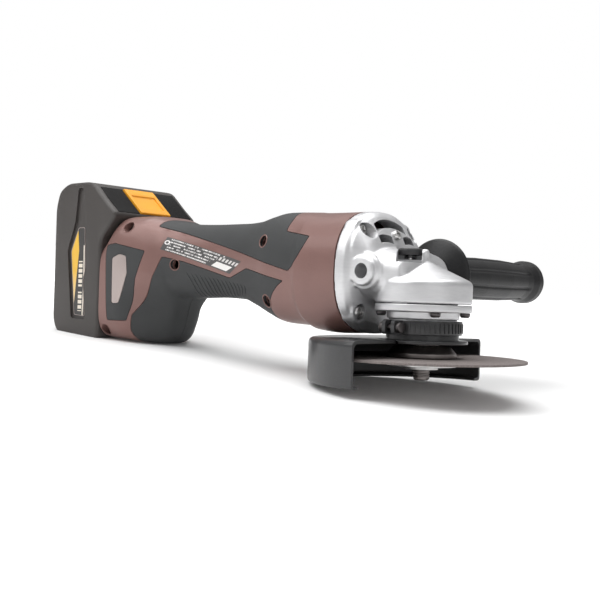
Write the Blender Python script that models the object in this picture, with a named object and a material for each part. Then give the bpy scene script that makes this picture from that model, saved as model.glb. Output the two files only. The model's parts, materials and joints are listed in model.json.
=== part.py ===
"""Cordless angle grinder: gear head, motor, two-shell housing, guard, disc, side handle and battery.

The frame's origin is the centre of the spindle's free end. +Z runs up the spindle, +X points forward,
away from the battery, and +Y points to the side handle. All sizes are in millimetres.
"""

import math

import bmesh
import bpy
from mathutils import Matrix, Vector

MM = 0.001
GAP = 0.3  # clearance between two pieces that touch
WELD_DISTANCE = 0.00001  # metres; closes the hairline cracks that a Boolean can leave
OVERSHOOT = 1.0  # how far a cutter runs past the face that it cuts
SIDES = 24  # sides of a round piece
SMALL_SIDES = 8  # sides of a screw, a pin or a hole for one

# Disc, spindle and what clamps the disc
DISC_RADIUS = 57.5
DISC_THICKNESS = 1.2
DISC_LOW = 11.4
DISC_BORE = 11.1
NUT_LOW = 6.0
NUT_HUB_RADIUS = 9.2
NUT_HUB_HEIGHT = 2.0
NUT_FLANGE_RADIUS = 19.5
FLANGE_RADIUS = 19.0
FLANGE_HEIGHT = 6.4
THREAD_RADIUS = 4.8
NECK_RADIUS = 9.2
LOWER_SEAT_RADIUS = 6.0
GEAR_SEAT_RADIUS = 5.5
UPPER_SEAT_RADIUS = 4.0
SPINDLE_TOP = 62.0

# Gears: two bevel gears whose pitch cones meet at the apex
APEX_HEIGHT = 59.0
GEAR_TEETH = 28
PINION_TEETH = 8
GEAR_MEAN_RADIUS = 15.0
GEAR_FACE_HALF = 2.5
ADDENDUM = 0.8
DEDENDUM = 1.25
GEAR_HUB_RADIUS = 9.0
GEAR_TOP_DROP = 7.5  # from the apex down to the gear's top
LOCK_HOLES = 7
LOCK_HOLE_RADIUS = 1.9
LOCK_PIN_RADIUS = 1.4
LOCK_OFFSET = 9.6  # from the spindle's axis to the lock pin's, backwards
LOCK_TRAVEL = 2.4

# Bearings of the spindle and the motor: bore, outer radius and width
SPINDLE_BEARING_OUTER = 16.0
SPINDLE_BEARING_WIDTH = 10.0
BUSH_OUTER = 7.0
BUSH_HEIGHT = 5.0
MOTOR_BEARING_OUTER = 11.0
MOTOR_BEARING_WIDTH = 7.0
REAR_BEARING_OUTER = 9.5
REAR_BEARING_WIDTH = 6.0

# Gear case and the plate that closes it from below
NOSE_RADIUS = 26.8
NOSE_APEX = 67.0  # height of the nose cone's point
NOSE_SLOPE = 0.457
CASE_BACK = -37.0
CASE_FLANGE_FRONT = -30.0
CASE_LOW = 42.3
GEAR_ROOM_RADIUS = 19.5
PLATE_THICKNESS = 4.0
BOSS_RADIUS = 18.7
BOSS_SHOULDER_RADIUS = 20.0
BOSS_SHOULDER_HEIGHT = 4.0
BOSS_LOW = 25.5
PLATE_FLOOR = 2.5  # thickness under the spindle's bearing
PLATE_SCREW_CIRCLE = 23.2
PLATE_SCREW_ANGLES = (40.0, 140.0, 220.0, 320.0)
PLATE_SCREW_RADIUS = 1.5
CASE_SCREW_RADIUS = 2.0
CASE_SCREW_PLACES = ((-20.5, 82.0), (20.5, 82.0), (-20.5, 36.5), (20.5, 36.5))  # y, z
CASE_LOBE_RADIUS = 6.4
CASE_LOBE_FRONT = -28.6
HANDLE_BOSS_X = -20.4
HANDLE_BOSS_Z = 59.2
HANDLE_BOSS_RADIUS = 8.0
HANDLE_BOSS_FACE = 31.0
STUD_RADIUS = 4.0
POCKET_FLOOR = 66.7

# Guard
GUARD_CLEARANCE = 5.5  # from the disc's rim to the guard's outside
GUARD_RADIUS = DISC_RADIUS + GUARD_CLEARANCE
GUARD_TOP = 22.3
GUARD_LOW = -2.8
GUARD_WALL = 1.6
GUARD_LIP = 6.0
COLLAR_WALL = 1.1
BAND_WALL = 1.4
BAND_LOW = 25.5
BAND_HIGH = 33.0
BAND_ANGLE = -96.0  # where the band's ears stand

# Motor
MOTOR_Z = 59.0
SHAFT_RADIUS = 3.7
SHAFT_TIP_RADIUS = 2.3  # where the pinion sits
SHAFT_TIP = -12.6
PINION_BACK = -24.2
PINION_TUNNEL_RADIUS = 6.6
CAN_RADIUS = 24.5
CAN_FRONT = -50.0
CAN_LENGTH = 34.0
CAN_BORE = 16.1
ROTOR_RADIUS = 15.5
FAN_FRONT = -39.0
FAN_DEPTH = 6.5
FAN_RADIUS = 24.0
FAN_BLADES = 9

# Housing: sections along X, each with its low edge, high edge, half width, roundness and keel.
# The keel is how far the section's lowest part, the foot's belly, draws in below BELLY_TOP.
HOUSING_FRONT = CASE_BACK - GAP
HOUSING_REAR = -242.0
WALL = 3.4
GRIP_DEPTH = 1.8
HOUSING_SECTIONS = [
    (-37, 24.2, 94.2, 34.0, 2.4, 0), (-54, 23.6, 94.3, 33.6, 2.4, 0), (-66, 24.4, 94.6, 33.4, 2.4, 0),
    (-71, 26.6, 95.0, 32.4, 2.4, 0), (-92, 27.8, 95.6, 30.8, 2.5, 0), (-103, 31.2, 93.9, 28.0, 2.5, 0),
    (-116, 36.4, 91.0, 25.0, 2.5, 0), (-131, 41.1, 89.9, 22.7, 2.6, 0), (-152, 41.9, 89.9, 21.5, 2.6, 0),
    (-178, 41.0, 90.5, 23.0, 2.8, 0), (-188, 40.0, 91.6, 25.5, 2.9, 0.25), (-191, 33.0, 92.0, 26.5, 3.0, 0.4),
    (-193.5, 24.0, 92.5, 27.5, 3.1, 0.45), (-197, 16.0, 93.4, 29.0, 3.2, 0.42),
    (-203, 10.6, 95.0, 31.5, 3.4, 0.34), (-210, 8.8, 96.4, 33.7, 3.8, 0.2), (-225.5, 10.1, 96.2, 37.0, 4.5, 0),
    (-242, 11.1, 79, 37.3, 5.0, 0)]
BELLY_TOP = 54.0
BELLY_SHOULDER = 22.0
SECTION_STEPS = 10  # faces round half a section
HOUSING_SCREWS = ((-97.0, 76.6), (-94.3, 40.9), (-218.5, 87.5), (-180.5, 62.7), (-237.2, 17.6))  # x, z
HOUSING_SCREW_RADIUS = 1.6
SCREW_WELL_RADIUS = 3.4
SCREW_BOSS_RADIUS = 4.6
UPPER_GRIP = [(-199, 92), (-199, 88.0), (-175, 83.0), (-122, 70.5), (-73, 58.6), (-65, 68.5), (-59, 79.0),
              (-79, 82.3), (-79, 89), (-84, 99), (-196, 99)]
LOWER_GRIP = [(-190.5, 68.0), (-174, 65.0), (-131, 54.6), (-113, 60.5), (-77, 53.0), (-84, 47.2), (-92, 39.0),
              (-94, 20), (-176, 4), (-216, 4), (-217, 17.5), (-215, 28.5), (-199.5, 48.4)]
PANEL_OUTLINE = [(-236.4, 75.4), (-226.6, 76.7), (-202.5, 71.6), (-218, 24.1), (-233.7, 24.0)]
BADGE_OUTLINE = [(-228.8, 66.5), (-222, 69.2), (-216.5, 67.8), (-215.4, 56.3), (-222.4, 36), (-228.1, 35.8)]
PANEL_DEPTH = 1.8

# Slide that the battery hangs on
RAIL_NECK_HALF = 18.0
RAIL_HEAD_HALF = 24.0
RAIL_NECK_DEPTH = 3.0
RAIL_HEAD_DEPTH = 3.4
RAIL_LOW = 24.0
RAIL_HIGH = 74.0
BLADE_LOW = 27.0
BLADE_HIGH = 39.0
BLADE_Y = 9.0
REAR_WALL = 10.0

# Battery
BATTERY_REAR = -296.0
BATTERY_LOW = 11.0
BATTERY_HIGH = 120.0
BATTERY_HALF = 37.3
BATTERY_SPLIT = -263.0
BATTERY_WALL = 2.4
FOOT_STEP = 79.0  # height of the corner where the foot's back leans forward
BATTERY_BEVEL = 2.4
BATTERY_SHOULDER = 16.5  # how far its top reaches forward over the foot
LATCH_HALF = 13.5
LATCH_DEPTH = 2.6
LATCH_TRAVEL = 2.5
CELL_RADIUS = 9.2
CELL_LENGTH = 65.0
CELL_PITCH = 17.6
CELLS_IN_ROW = 5
CELL_ROWS_X = (-254.0, -274.5)
CELL_LOW = 17.0

# Side handle, along +Y
HANDLE_START = 32.2
HANDLE_END = 158.0
HANDLE_GUARD_RADIUS = 22.8
HANDLE_GUARD_Y = 44.4
HANDLE_GRIP_RADIUS = 13.3
HANDLE_END_RADIUS = 14.5
STUD_START = 16.8
STUD_END = 69.0

# Switch on the left side
SLIDER_BACK = -97.0
SLIDER_LENGTH = 19.0
SLIDER_Z = 62.0
SLIDER_HEIGHT = 12.0
SLIDER_RISE = 3.0
SLIDER_STEM_MARGIN = 5.0
SWITCH_TRAVEL = 4.0
ROD_THICKNESS = 1.6

MATERIALS = {
    "aluminium": ((0.72, 0.72, 0.73, 1), 0.35, 1.0),
    "steel": ((0.45, 0.45, 0.46, 1), 0.3, 1.0),
    "black_steel": ((0.02, 0.02, 0.02, 1), 0.35, 0.2),
    "copper": ((0.55, 0.26, 0.13, 1), 0.4, 1.0),
    "brown_plastic": ((0.29, 0.16, 0.14, 1), 0.45, 0.0),
    "grip_rubber": ((0.07, 0.075, 0.075, 1), 0.7, 0.0),
    "black_plastic": ((0.02, 0.02, 0.02, 1), 0.5, 0.0),
    "silver_badge": ((0.6, 0.52, 0.5, 1), 0.4, 0.6),
    "orange_plastic": ((0.9, 0.38, 0.02, 1), 0.4, 0.0),
    "abrasive": ((0.16, 0.13, 0.12, 1), 0.9, 0.0),
    "circuit_board": ((0.03, 0.2, 0.08, 1), 0.6, 0.0),
    "cell_blue": ((0.1, 0.2, 0.45, 1), 0.45, 0.0),
}


# ---- building blocks ----

def material(name):
    """The named material, made the first time it is asked for."""
    found = bpy.data.materials.get(name)
    if found:
        return found
    colour, roughness, metallic = MATERIALS[name]
    made = bpy.data.materials.new(name)
    made.use_nodes = True
    shader = made.node_tree.nodes["Principled BSDF"]
    shader.inputs["Base Color"].default_value = colour
    shader.inputs["Roughness"].default_value = roughness
    shader.inputs["Metallic"].default_value = metallic
    made.diffuse_color = colour
    return made


def piece(name, bm, finish, pivot=(0, 0, 0)):
    """An object from a mesh in millimetres, with its origin at the pivot."""
    bmesh.ops.remove_doubles(bm, verts=bm.verts, dist=1e-4)
    bmesh.ops.recalc_face_normals(bm, faces=bm.faces)
    bmesh.ops.translate(bm, verts=bm.verts, vec=-Vector(pivot))
    bmesh.ops.scale(bm, verts=bm.verts, vec=(MM, MM, MM))
    mesh = bpy.data.meshes.new(name)
    bm.to_mesh(mesh)
    bm.free()
    mesh.materials.append(material(finish))
    mesh.shade_smooth()
    mesh.set_sharp_from_angle(angle=math.radians(35))
    made = bpy.data.objects.new(name, mesh)
    made.location = Vector(pivot) * MM
    bpy.context.scene.collection.objects.link(made)
    return made


def cutter(bm):
    """A hidden object that only shapes another."""
    made = piece("cutter", bm, "steel")
    made.hide_render = True
    made.display_type = "WIRE"
    return made


def combine(target, operation, *shapes):
    """Booleans on the target, one for each shape, in order."""
    for shape in shapes:
        step = target.modifiers.new(operation.lower(), "BOOLEAN")
        step.operation = operation
        step.solver = "EXACT"
        step.object = cutter(shape) if isinstance(shape, bmesh.types.BMesh) else shape
        weld = target.modifiers.new("weld", "WELD")
        weld.merge_threshold = WELD_DISTANCE
    return target


def cut(target, *shapes):
    return combine(target, "DIFFERENCE", *shapes)


def join(target, *shapes):
    return combine(target, "UNION", *shapes)


def turned(profile, sides=SIDES, ring=False, angle=360.0, start=0.0):
    """A profile of (radius, height) points turned about Z; a ring's profile closes on itself."""
    bm = bmesh.new()
    first = Matrix.Rotation(math.radians(start), 3, "Z")
    verts = [bm.verts.new(first @ Vector((r, 0, h))) for r, h in profile]
    edges = [bm.edges.new(pair) for pair in zip(verts, verts[1:])]
    if ring:
        edges.append(bm.edges.new((verts[-1], verts[0])))
    whole = abs(angle - 360.0) < 1e-6
    spun = bmesh.ops.spin(bm, geom=verts + edges, cent=(0, 0, 0), axis=(0, 0, 1),
                          angle=math.radians(angle), steps=sides, use_merge=whole)
    if not whole:
        last = [v for v in spun["geom_last"] if isinstance(v, bmesh.types.BMVert)]
        bm.faces.new(verts)
        bm.faces.new(last)
    bmesh.ops.remove_doubles(bm, verts=bm.verts, dist=1e-4)
    bmesh.ops.recalc_face_normals(bm, faces=bm.faces)
    return bm


def moved(bm, place=(0, 0, 0), axis="Z"):
    """Turns a mesh built along Z to lie along another axis, then moves it."""
    turns = {"Z": Matrix.Identity(3), "X": Matrix.Rotation(math.pi / 2, 3, "Y"),
             "Y": Matrix.Rotation(-math.pi / 2, 3, "X"), "-Y": Matrix.Rotation(math.pi / 2, 3, "X")}
    bmesh.ops.transform(bm, matrix=turns[axis].to_4x4(), verts=bm.verts)
    bmesh.ops.translate(bm, verts=bm.verts, vec=Vector(place))
    return bm


def spun_round_z(bm, degrees):
    bmesh.ops.rotate(bm, verts=bm.verts, cent=(0, 0, 0), matrix=Matrix.Rotation(math.radians(degrees), 3, "Z"))
    return bm


def rod(radius, low, high, place=(0, 0, 0), axis="Z", sides=SMALL_SIDES):
    """A plain round bar or hole between two heights along its axis, with flats on the other two axes."""
    bar = turned([(0, low), (radius, low), (radius, high), (0, high)], sides)
    return moved(spun_round_z(bar, 180 / sides), place, axis)


def tube(inner, outer, low, high, place=(0, 0, 0), axis="Z", sides=SIDES):
    """A ring with a plain bore."""
    return moved(turned([(inner, low), (outer, low), (outer, high), (inner, high)], sides, ring=True), place, axis)


def block(low, high):
    """A box between two corners."""
    bm = bmesh.new()
    bmesh.ops.create_cube(bm, size=1.0)
    low, high = Vector(low), Vector(high)
    bmesh.ops.scale(bm, verts=bm.verts, vec=high - low)
    bmesh.ops.translate(bm, verts=bm.verts, vec=(low + high) / 2)
    return bm


def slab(outline, low, high):
    """An (x, z) outline given a thickness along Y."""
    bm = bmesh.new()
    near = [bm.verts.new((x, low, z)) for x, z in outline]
    far = [bm.verts.new((x, high, z)) for x, z in outline]
    bm.faces.new(near)
    bm.faces.new(list(reversed(far)))
    for i in range(len(outline)):
        j = (i + 1) % len(outline)
        bm.faces.new((near[i], near[j], far[j], far[i]))
    bmesh.ops.recalc_face_normals(bm, faces=bm.faces)
    return bm


def lofted(rings):
    """A closed solid through rings with the same number of points, capped at both ends."""
    bm = bmesh.new()
    rows = [[bm.verts.new(point) for point in ring] for ring in rings]
    for here, there in zip(rows, rows[1:]):
        for i in range(len(here)):
            j = (i + 1) % len(here)
            bm.faces.new((here[i], here[j], there[j], there[i]))
    bm.faces.new(rows[0])
    bm.faces.new(rows[-1])
    bmesh.ops.recalc_face_normals(bm, faces=bm.faces)
    bmesh.ops.triangulate(bm, faces=[f for f in bm.faces if len(f.verts) == 4])
    return bm


def grown(outline, amount):
    """An outline whose sides are each moved outwards by the amount (inwards if it is negative)."""
    area = sum(a[0] * b[1] - b[0] * a[1] for a, b in zip(outline, outline[1:] + outline[:1]))
    sign = 1.0 if area > 0 else -1.0
    out = []
    for i, here in enumerate(outline):
        before = Vector(here) - Vector(outline[i - 1])
        after = Vector(outline[(i + 1) % len(outline)]) - Vector(here)
        normals = [Vector((side.y, -side.x)).normalized() * sign for side in (before, after)]
        middle = (normals[0] + normals[1]).normalized()
        out.append(tuple(Vector(here) + middle * amount / max(0.35, middle.dot(normals[0]))))
    return out


def bolt(name, finish, shank_radius, length, head_radius, head_height, place, axis, flip=False):
    """A screw whose head's underside is at the place and whose shank runs along the axis, or against it."""
    bm = turned([(0, -head_height), (head_radius * 0.8, -head_height), (head_radius, -head_height * 0.5),
                 (head_radius, 0), (shank_radius, 0), (shank_radius, length), (0, length)], SMALL_SIDES)
    if flip:
        bmesh.ops.rotate(bm, verts=bm.verts, cent=(0, 0, 0), matrix=Matrix.Rotation(math.pi, 3, "X"))
    made = piece(name, moved(bm, place, axis), finish)
    return made


# ---- the housing's outer shape ----

def along(x, column):
    """The value that a column of the housing's table has at x."""
    rows = sorted(HOUSING_SECTIONS)
    if x <= rows[0][0]:
        return rows[0][column]
    for here, there in zip(rows, rows[1:]):
        if x <= there[0]:
            return here[column] + (there[column] - here[column]) * (x - here[0]) / (there[0] - here[0])
    return rows[-1][column]


def section(x, inset):
    """Low edge, high edge, half width, roundness and keel at x, inside the surface by the inset."""
    near = [x - inset, x, x + inset]
    low = max(along(v, 1) for v in near) + inset
    high = min(along(v, 2) for v in near) - inset
    half = min(along(v, 3) for v in near) - inset
    return low, high, half, along(x, 4), max(along(v, 5) for v in near)


def keel_factor(z, keel):
    """How much of its width the section keeps at height z."""
    t = min(1.0, max(0.0, (BELLY_TOP - z) / BELLY_SHOULDER))
    return 1.0 - keel * t * t * (3 - 2 * t)


def half_section(x, side, inset, seam=GAP / 2):
    """Points from the low edge round one side to the high edge."""
    low, high, half, power, keel = section(x, inset)
    points = []
    for i in range(SECTION_STEPS + 1):
        angle = math.pi * (i / SECTION_STEPS - 0.5)
        z = (low + high) / 2 + (high - low) / 2 * math.copysign(abs(math.sin(angle)) ** (2 / power), angle)
        y = half * abs(math.cos(angle)) ** (2 / power) * keel_factor(z, keel)
        points.append(Vector((x, side * max(y, seam), z)))
    points[0].y = points[-1].y = side * seam
    return points


def side_y(x, z, inset=0.0):
    """How far the housing's surface stands from the centre plane at x and z."""
    low, high, half, power, keel = section(x, inset)
    rise = min(1.0, abs(z - (low + high) / 2) / ((high - low) / 2))
    return half * (1 - rise ** power) ** (1 / power) * keel_factor(z, keel)


def stations(front=HOUSING_FRONT, rear=HOUSING_REAR):
    return [front] + [row[0] for row in HOUSING_SECTIONS if rear < row[0] < front] + [rear]


def half_solid(side, inset, front=HOUSING_FRONT, rear=HOUSING_REAR, seam=GAP / 2):
    """One half of the housing's form, filled, inside the surface by the inset."""
    return lofted([half_section(x, side, inset, seam) for x in stations(front, rear)])


def half_shell(side):
    """One half of the housing as a wall, open to the front and closed at the centre plane's edges."""
    rings = []
    for x in stations():
        outer = half_section(x, side, 0.0)
        inner = half_section(x, side, WALL)
        rings.append((outer, inner))
    bm = bmesh.new()
    rows = [([bm.verts.new(p) for p in o], [bm.verts.new(p) for p in i]) for o, i in rings]
    for (o0, i0), (o1, i1) in zip(rows, rows[1:]):
        for k in range(SECTION_STEPS):
            bm.faces.new((o0[k], o0[k + 1], o1[k + 1], o1[k]))
            bm.faces.new((i0[k], i0[k + 1], i1[k + 1], i1[k]))
        for k in (0, SECTION_STEPS):
            bm.faces.new((o0[k], i0[k], i1[k], o1[k]))
    for o, i in (rows[0], rows[-1]):
        for k in range(SECTION_STEPS):
            bm.faces.new((o[k], o[k + 1], i[k + 1], i[k]))
    bmesh.ops.recalc_face_normals(bm, faces=bm.faces)
    return bm


# ---- housing, grips and what is set into them ----

def region(outline, side, growth=0.0):
    """An outline's slab through one half of the housing, with a margin past the widest point."""
    reach = BATTERY_HALF + 5 * OVERSHOOT
    low, high = sorted((side * GAP / 4, side * reach))
    return slab(grown(outline, growth), low, high)


def inlay(name, outline, side, depth, finish):
    """A moulding flush with the housing's surface inside the outline, and the recess that it fills.

    The moulding's underside keeps twice the gap, because both surfaces are faceted.
    """
    recess = cutter(region(outline, side))
    cut(recess, half_solid(side, depth, seam=0.0))
    made = piece(name, half_solid(side, 0.0), finish)
    cut(made, half_solid(side, depth - 2 * GAP, front=HOUSING_FRONT + OVERSHOOT, rear=HOUSING_REAR - OVERSHOOT,
                         seam=GAP / 4))
    combine(made, "INTERSECT", region(outline, side, -GAP))
    return made, recess


def rail_slot(side):
    """The T-shaped slot in the foot's back that the battery's rail slides up."""
    top = BATTERY_HIGH
    neck = RAIL_NECK_HALF + GAP
    head = RAIL_HEAD_HALF + GAP
    back = HOUSING_REAR - OVERSHOOT
    neck_front = HOUSING_REAR + RAIL_NECK_DEPTH - GAP
    front = HOUSING_REAR + RAIL_NECK_DEPTH + RAIL_HEAD_DEPTH + GAP
    low = RAIL_LOW - GAP
    return (block((back, -neck, low), (front, neck, top)), block((neck_front, -head, low), (front, head, top)))


def housing_half(name, side):
    """One shell of the housing with its screw bosses, back wall, recesses and slots."""
    shell = piece(name, half_shell(side), "brown_plastic")
    join(shell, half_solid(side, WALL * 0.5, HOUSING_REAR + REAR_WALL, HOUSING_REAR + GAP, seam=GAP * 0.6))
    seam, reach = GAP / 2, BATTERY_HALF + OVERSHOOT
    for x, z in HOUSING_SCREWS:
        join(shell, rod(SCREW_BOSS_RADIUS, seam, side_y(x, z, WALL * 0.6), (x, 0, z), "Y" if side > 0 else "-Y"))
    for y, z in CASE_SCREW_PLACES:
        if y * side > 0:
            join(shell, rod(SCREW_BOSS_RADIUS - 0.4, HOUSING_FRONT - 12, HOUSING_FRONT - GAP, (0, y, z), "X"))
            cut(shell, rod(CASE_SCREW_RADIUS + GAP, HOUSING_FRONT - 11, HOUSING_FRONT + OVERSHOOT, (0, y, z), "X"))
    cut(shell, *rail_slot(side))
    for x, z in HOUSING_SCREWS:
        axis = "Y" if side > 0 else "-Y"
        hole_end = min(13.0, side_y(x, z) - 2 * WALL) if side > 0 else reach
        cut(shell, rod(HOUSING_SCREW_RADIUS + GAP, -OVERSHOOT, hole_end, (x, 0, z), axis))
        if side < 0:
            cut(shell, rod(SCREW_WELL_RADIUS, screw_seat(x, z), reach, (x, 0, z), axis))
        else:
            cut(shell, rod(SCREW_WELL_RADIUS, side_y(x, z) - WALL, reach, (x, 0, z), axis))
    return shell


def screw_seat(x, z):
    """How far from the centre plane a housing screw's head sits."""
    return side_y(x, z) - 7.0


def make_housing():
    shells = {}
    for side, word in ((-1, "right"), (1, "left")):
        shell = shells[side] = housing_half(f"housing_{word}", side)
        for grip, outline in (("upper", UPPER_GRIP), ("lower", LOWER_GRIP)):
            made, recess = inlay(f"grip_{grip}_{word}", outline, side, GRIP_DEPTH, "grip_rubber")
            cut(shell, recess)
            for x, z in HOUSING_SCREWS:
                cut(made, rod(SCREW_WELL_RADIUS + GAP, 0, BATTERY_HALF + OVERSHOOT, (x, 0, z),
                              "Y" if side > 0 else "-Y"))
        panel, recess = inlay(f"foot_panel_{word}", PANEL_OUTLINE, side, PANEL_DEPTH, "grip_rubber")
        cut(shell, recess)
        _, recess = inlay(f"foot_badge_{word}", BADGE_OUTLINE, side, PANEL_DEPTH - 0.8, "silver_badge")
        cut(panel, recess)
    for number, (x, z) in enumerate(HOUSING_SCREWS, 1):
        seat = screw_seat(x, z) + GAP
        bolt(f"housing_screw_{number}", "steel", HOUSING_SCREW_RADIUS, seat + 9.0, 2.9, 2.2, (x, -seat, z), "Y")
    cut(shells[1], slider_slot())
    cut(bpy.data.objects["grip_upper_left"], slider_slot(GAP))
    return shells


# ---- gear case ----

def case_form():
    """The cast case's outer form behind the nose: sections from the motor flange forwards."""
    body_low = CASE_LOW + GAP
    shape = [(CASE_BACK, 24.2, 94.2, 34.0, 2.4), (CASE_FLANGE_FRONT, 24.2, 94.2, 33.6, 2.4),
             (-29.2, 25.2, 93.4, 32.6, 2.4), (-28.3, 37.0, 92.0, 31.6, 2.4), (-27.4, body_low, 90.8, 31.2, 2.4),
             (-25.5, body_low, 88.0, 30.2, 2.5),
             (-20.0, body_low, 80.0, 28.6, 2.6), (-16.5, body_low, 72.6, 27.6, 2.8),
             (-9.0, body_low, 71.2, 26.4, 2.8), (0.0, body_low, 70.6, 24.5, 2.6), (2.0, body_low, 66.0, 22.0, 2.4)]
    rings = []
    for x, low, high, half, power in shape:
        ring = []
        for i in range(24):
            angle = 2 * math.pi * i / 24
            c, s = math.cos(angle), math.sin(angle)
            y = half * math.copysign(abs(c) ** (2 / power), c)
            z = (low + high) / 2 + (high - low) / 2 * math.copysign(abs(s) ** (2 / power), s)
            ring.append((x, y, z))
        rings.append(ring)
    return lofted(rings)


def nose_height(radius):
    return NOSE_APEX - NOSE_SLOPE * radius


def make_gear_case():
    edge = nose_height(NOSE_RADIUS)
    nose = turned([(0, CASE_LOW), (NOSE_RADIUS, CASE_LOW), (NOSE_RADIUS, edge - 1.6), (NOSE_RADIUS - 1.4, edge + 0.4),
                   (2.0, nose_height(2.0)), (0, NOSE_APEX)])
    case = piece("gear_case", case_form(), "aluminium")
    join(case, nose)
    for y, z in CASE_SCREW_PLACES:
        join(case, rod(CASE_LOBE_RADIUS, CASE_BACK + GAP, CASE_LOBE_FRONT, (0, y, z), "X", 20))
    for axis in ("Y", "-Y"):
        join(case, rod(HANDLE_BOSS_RADIUS, 20, HANDLE_BOSS_FACE, (HANDLE_BOSS_X, 0, HANDLE_BOSS_Z), axis, 20))
    room = turned([(0, CASE_LOW - OVERSHOOT), (GEAR_ROOM_RADIUS, CASE_LOW - OVERSHOOT), (GEAR_ROOM_RADIUS, APEX_HEIGHT - 4.2),
                   (GEAR_ROOM_RADIUS - 2.5, APEX_HEIGHT - 2.4), (12, APEX_HEIGHT), (BUSH_OUTER + GAP, APEX_HEIGHT),
                   (BUSH_OUTER + GAP, SPINDLE_TOP + 0.8),
                   (0, SPINDLE_TOP + 0.8)], 24)
    cut(case, room)
    seat = MOTOR_BEARING_OUTER + GAP
    cut(case, rod(seat, CASE_BACK - OVERSHOOT, CASE_BACK + 13, (0, 0, MOTOR_Z), "X", 20),
        rod(PINION_TUNNEL_RADIUS, CASE_BACK + OVERSHOOT, SHAFT_TIP + 3 * GAP, (0, 0, MOTOR_Z), "X", 14))
    # the fan's chamber opens backwards, and the air leaves through arched slots over it
    cut(case, block((CASE_BACK - 1, -15.2, 84.8), (-15, 11.9, 89.4)), block((CASE_BACK - 1, -16, 75.8), (-15, -4.5, 79.2)),
        block((CASE_BACK - 1, 7, 75.8), (-15, 17, 79.2)))
    for axis in ("Y", "-Y"):
        cut(case, rod(STUD_RADIUS + GAP, 15.0, HANDLE_BOSS_FACE + OVERSHOOT, (HANDLE_BOSS_X, 0, HANDLE_BOSS_Z), axis, 16))
    for y, z in CASE_SCREW_PLACES:
        cut(case, rod(CASE_SCREW_RADIUS + GAP, CASE_BACK - 1, -10, (0, y, z), "X"),
            rod(4.4, CASE_FLANGE_FRONT - 1.2, -10, (0, y, z), "X"))
    for angle in PLATE_SCREW_ANGLES:
        cut(case, spun_round_z(rod(PLATE_SCREW_RADIUS + GAP, CASE_LOW - 1, 50, (PLATE_SCREW_CIRCLE, 0, 0)), angle))
    cut(case, rod(8.0, POCKET_FLOOR, 75, (-LOCK_OFFSET, 0, 0), sides=20),
        rod(LOCK_PIN_RADIUS + GAP, 55, 75, (-LOCK_OFFSET, 0, 0)))
    notch = block((0, -5.5, POCKET_FLOOR + 0.1), (16, 5.5, 75))
    cut(case, moved(spun_round_z(notch, -62), (-LOCK_OFFSET, 0, 0)))
    for number, (y, z) in enumerate(CASE_SCREW_PLACES, 1):
        bolt(f"gear_case_screw_{number}", "steel", CASE_SCREW_RADIUS, 16.0, 3.9, 2.8,
             (CASE_FLANGE_FRONT - 1.2 + GAP, y, z), "X", flip=True)
    return case


def make_bearing_plate():
    top = CASE_LOW - GAP
    flange_low = top - PLATE_THICKNESS
    shoulder_low = flange_low - BOSS_SHOULDER_HEIGHT
    bore = SPINDLE_BEARING_OUTER + GAP
    floor = BOSS_LOW + PLATE_FLOOR
    plate = piece("bearing_plate", turned([
        (NECK_RADIUS + 0.8, BOSS_LOW), (BOSS_RADIUS, BOSS_LOW), (BOSS_RADIUS, shoulder_low),
        (BOSS_SHOULDER_RADIUS, shoulder_low), (BOSS_SHOULDER_RADIUS, flange_low), (NOSE_RADIUS, flange_low),
        (NOSE_RADIUS, top), (bore, top), (bore, floor), (NECK_RADIUS + 0.8, floor)], ring=True), "aluminium")
    for number, angle in enumerate(PLATE_SCREW_ANGLES, 1):
        place = Vector((PLATE_SCREW_CIRCLE, 0, 0)) @ Matrix.Rotation(-math.radians(angle), 3, "Z")
        cut(plate, rod(PLATE_SCREW_RADIUS + GAP, flange_low - 1, top + 1, place))
        bolt(f"plate_screw_{number}", "black_steel", PLATE_SCREW_RADIUS, 11.0, 2.9, 2.6,
             (place.x, place.y, flange_low - GAP), "Z")
    bearing_low = floor + GAP
    piece("spindle_bearing", tube(LOWER_SEAT_RADIUS + GAP, SPINDLE_BEARING_OUTER, bearing_low,
                                  bearing_low + SPINDLE_BEARING_WIDTH), "steel")
    piece("spindle_bush", tube(UPPER_SEAT_RADIUS + GAP, BUSH_OUTER, SPINDLE_TOP - BUSH_HEIGHT, SPINDLE_TOP + 0.4,
                               sides=20), "copper")
    return plate


# ---- spindle and disc ----

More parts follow.
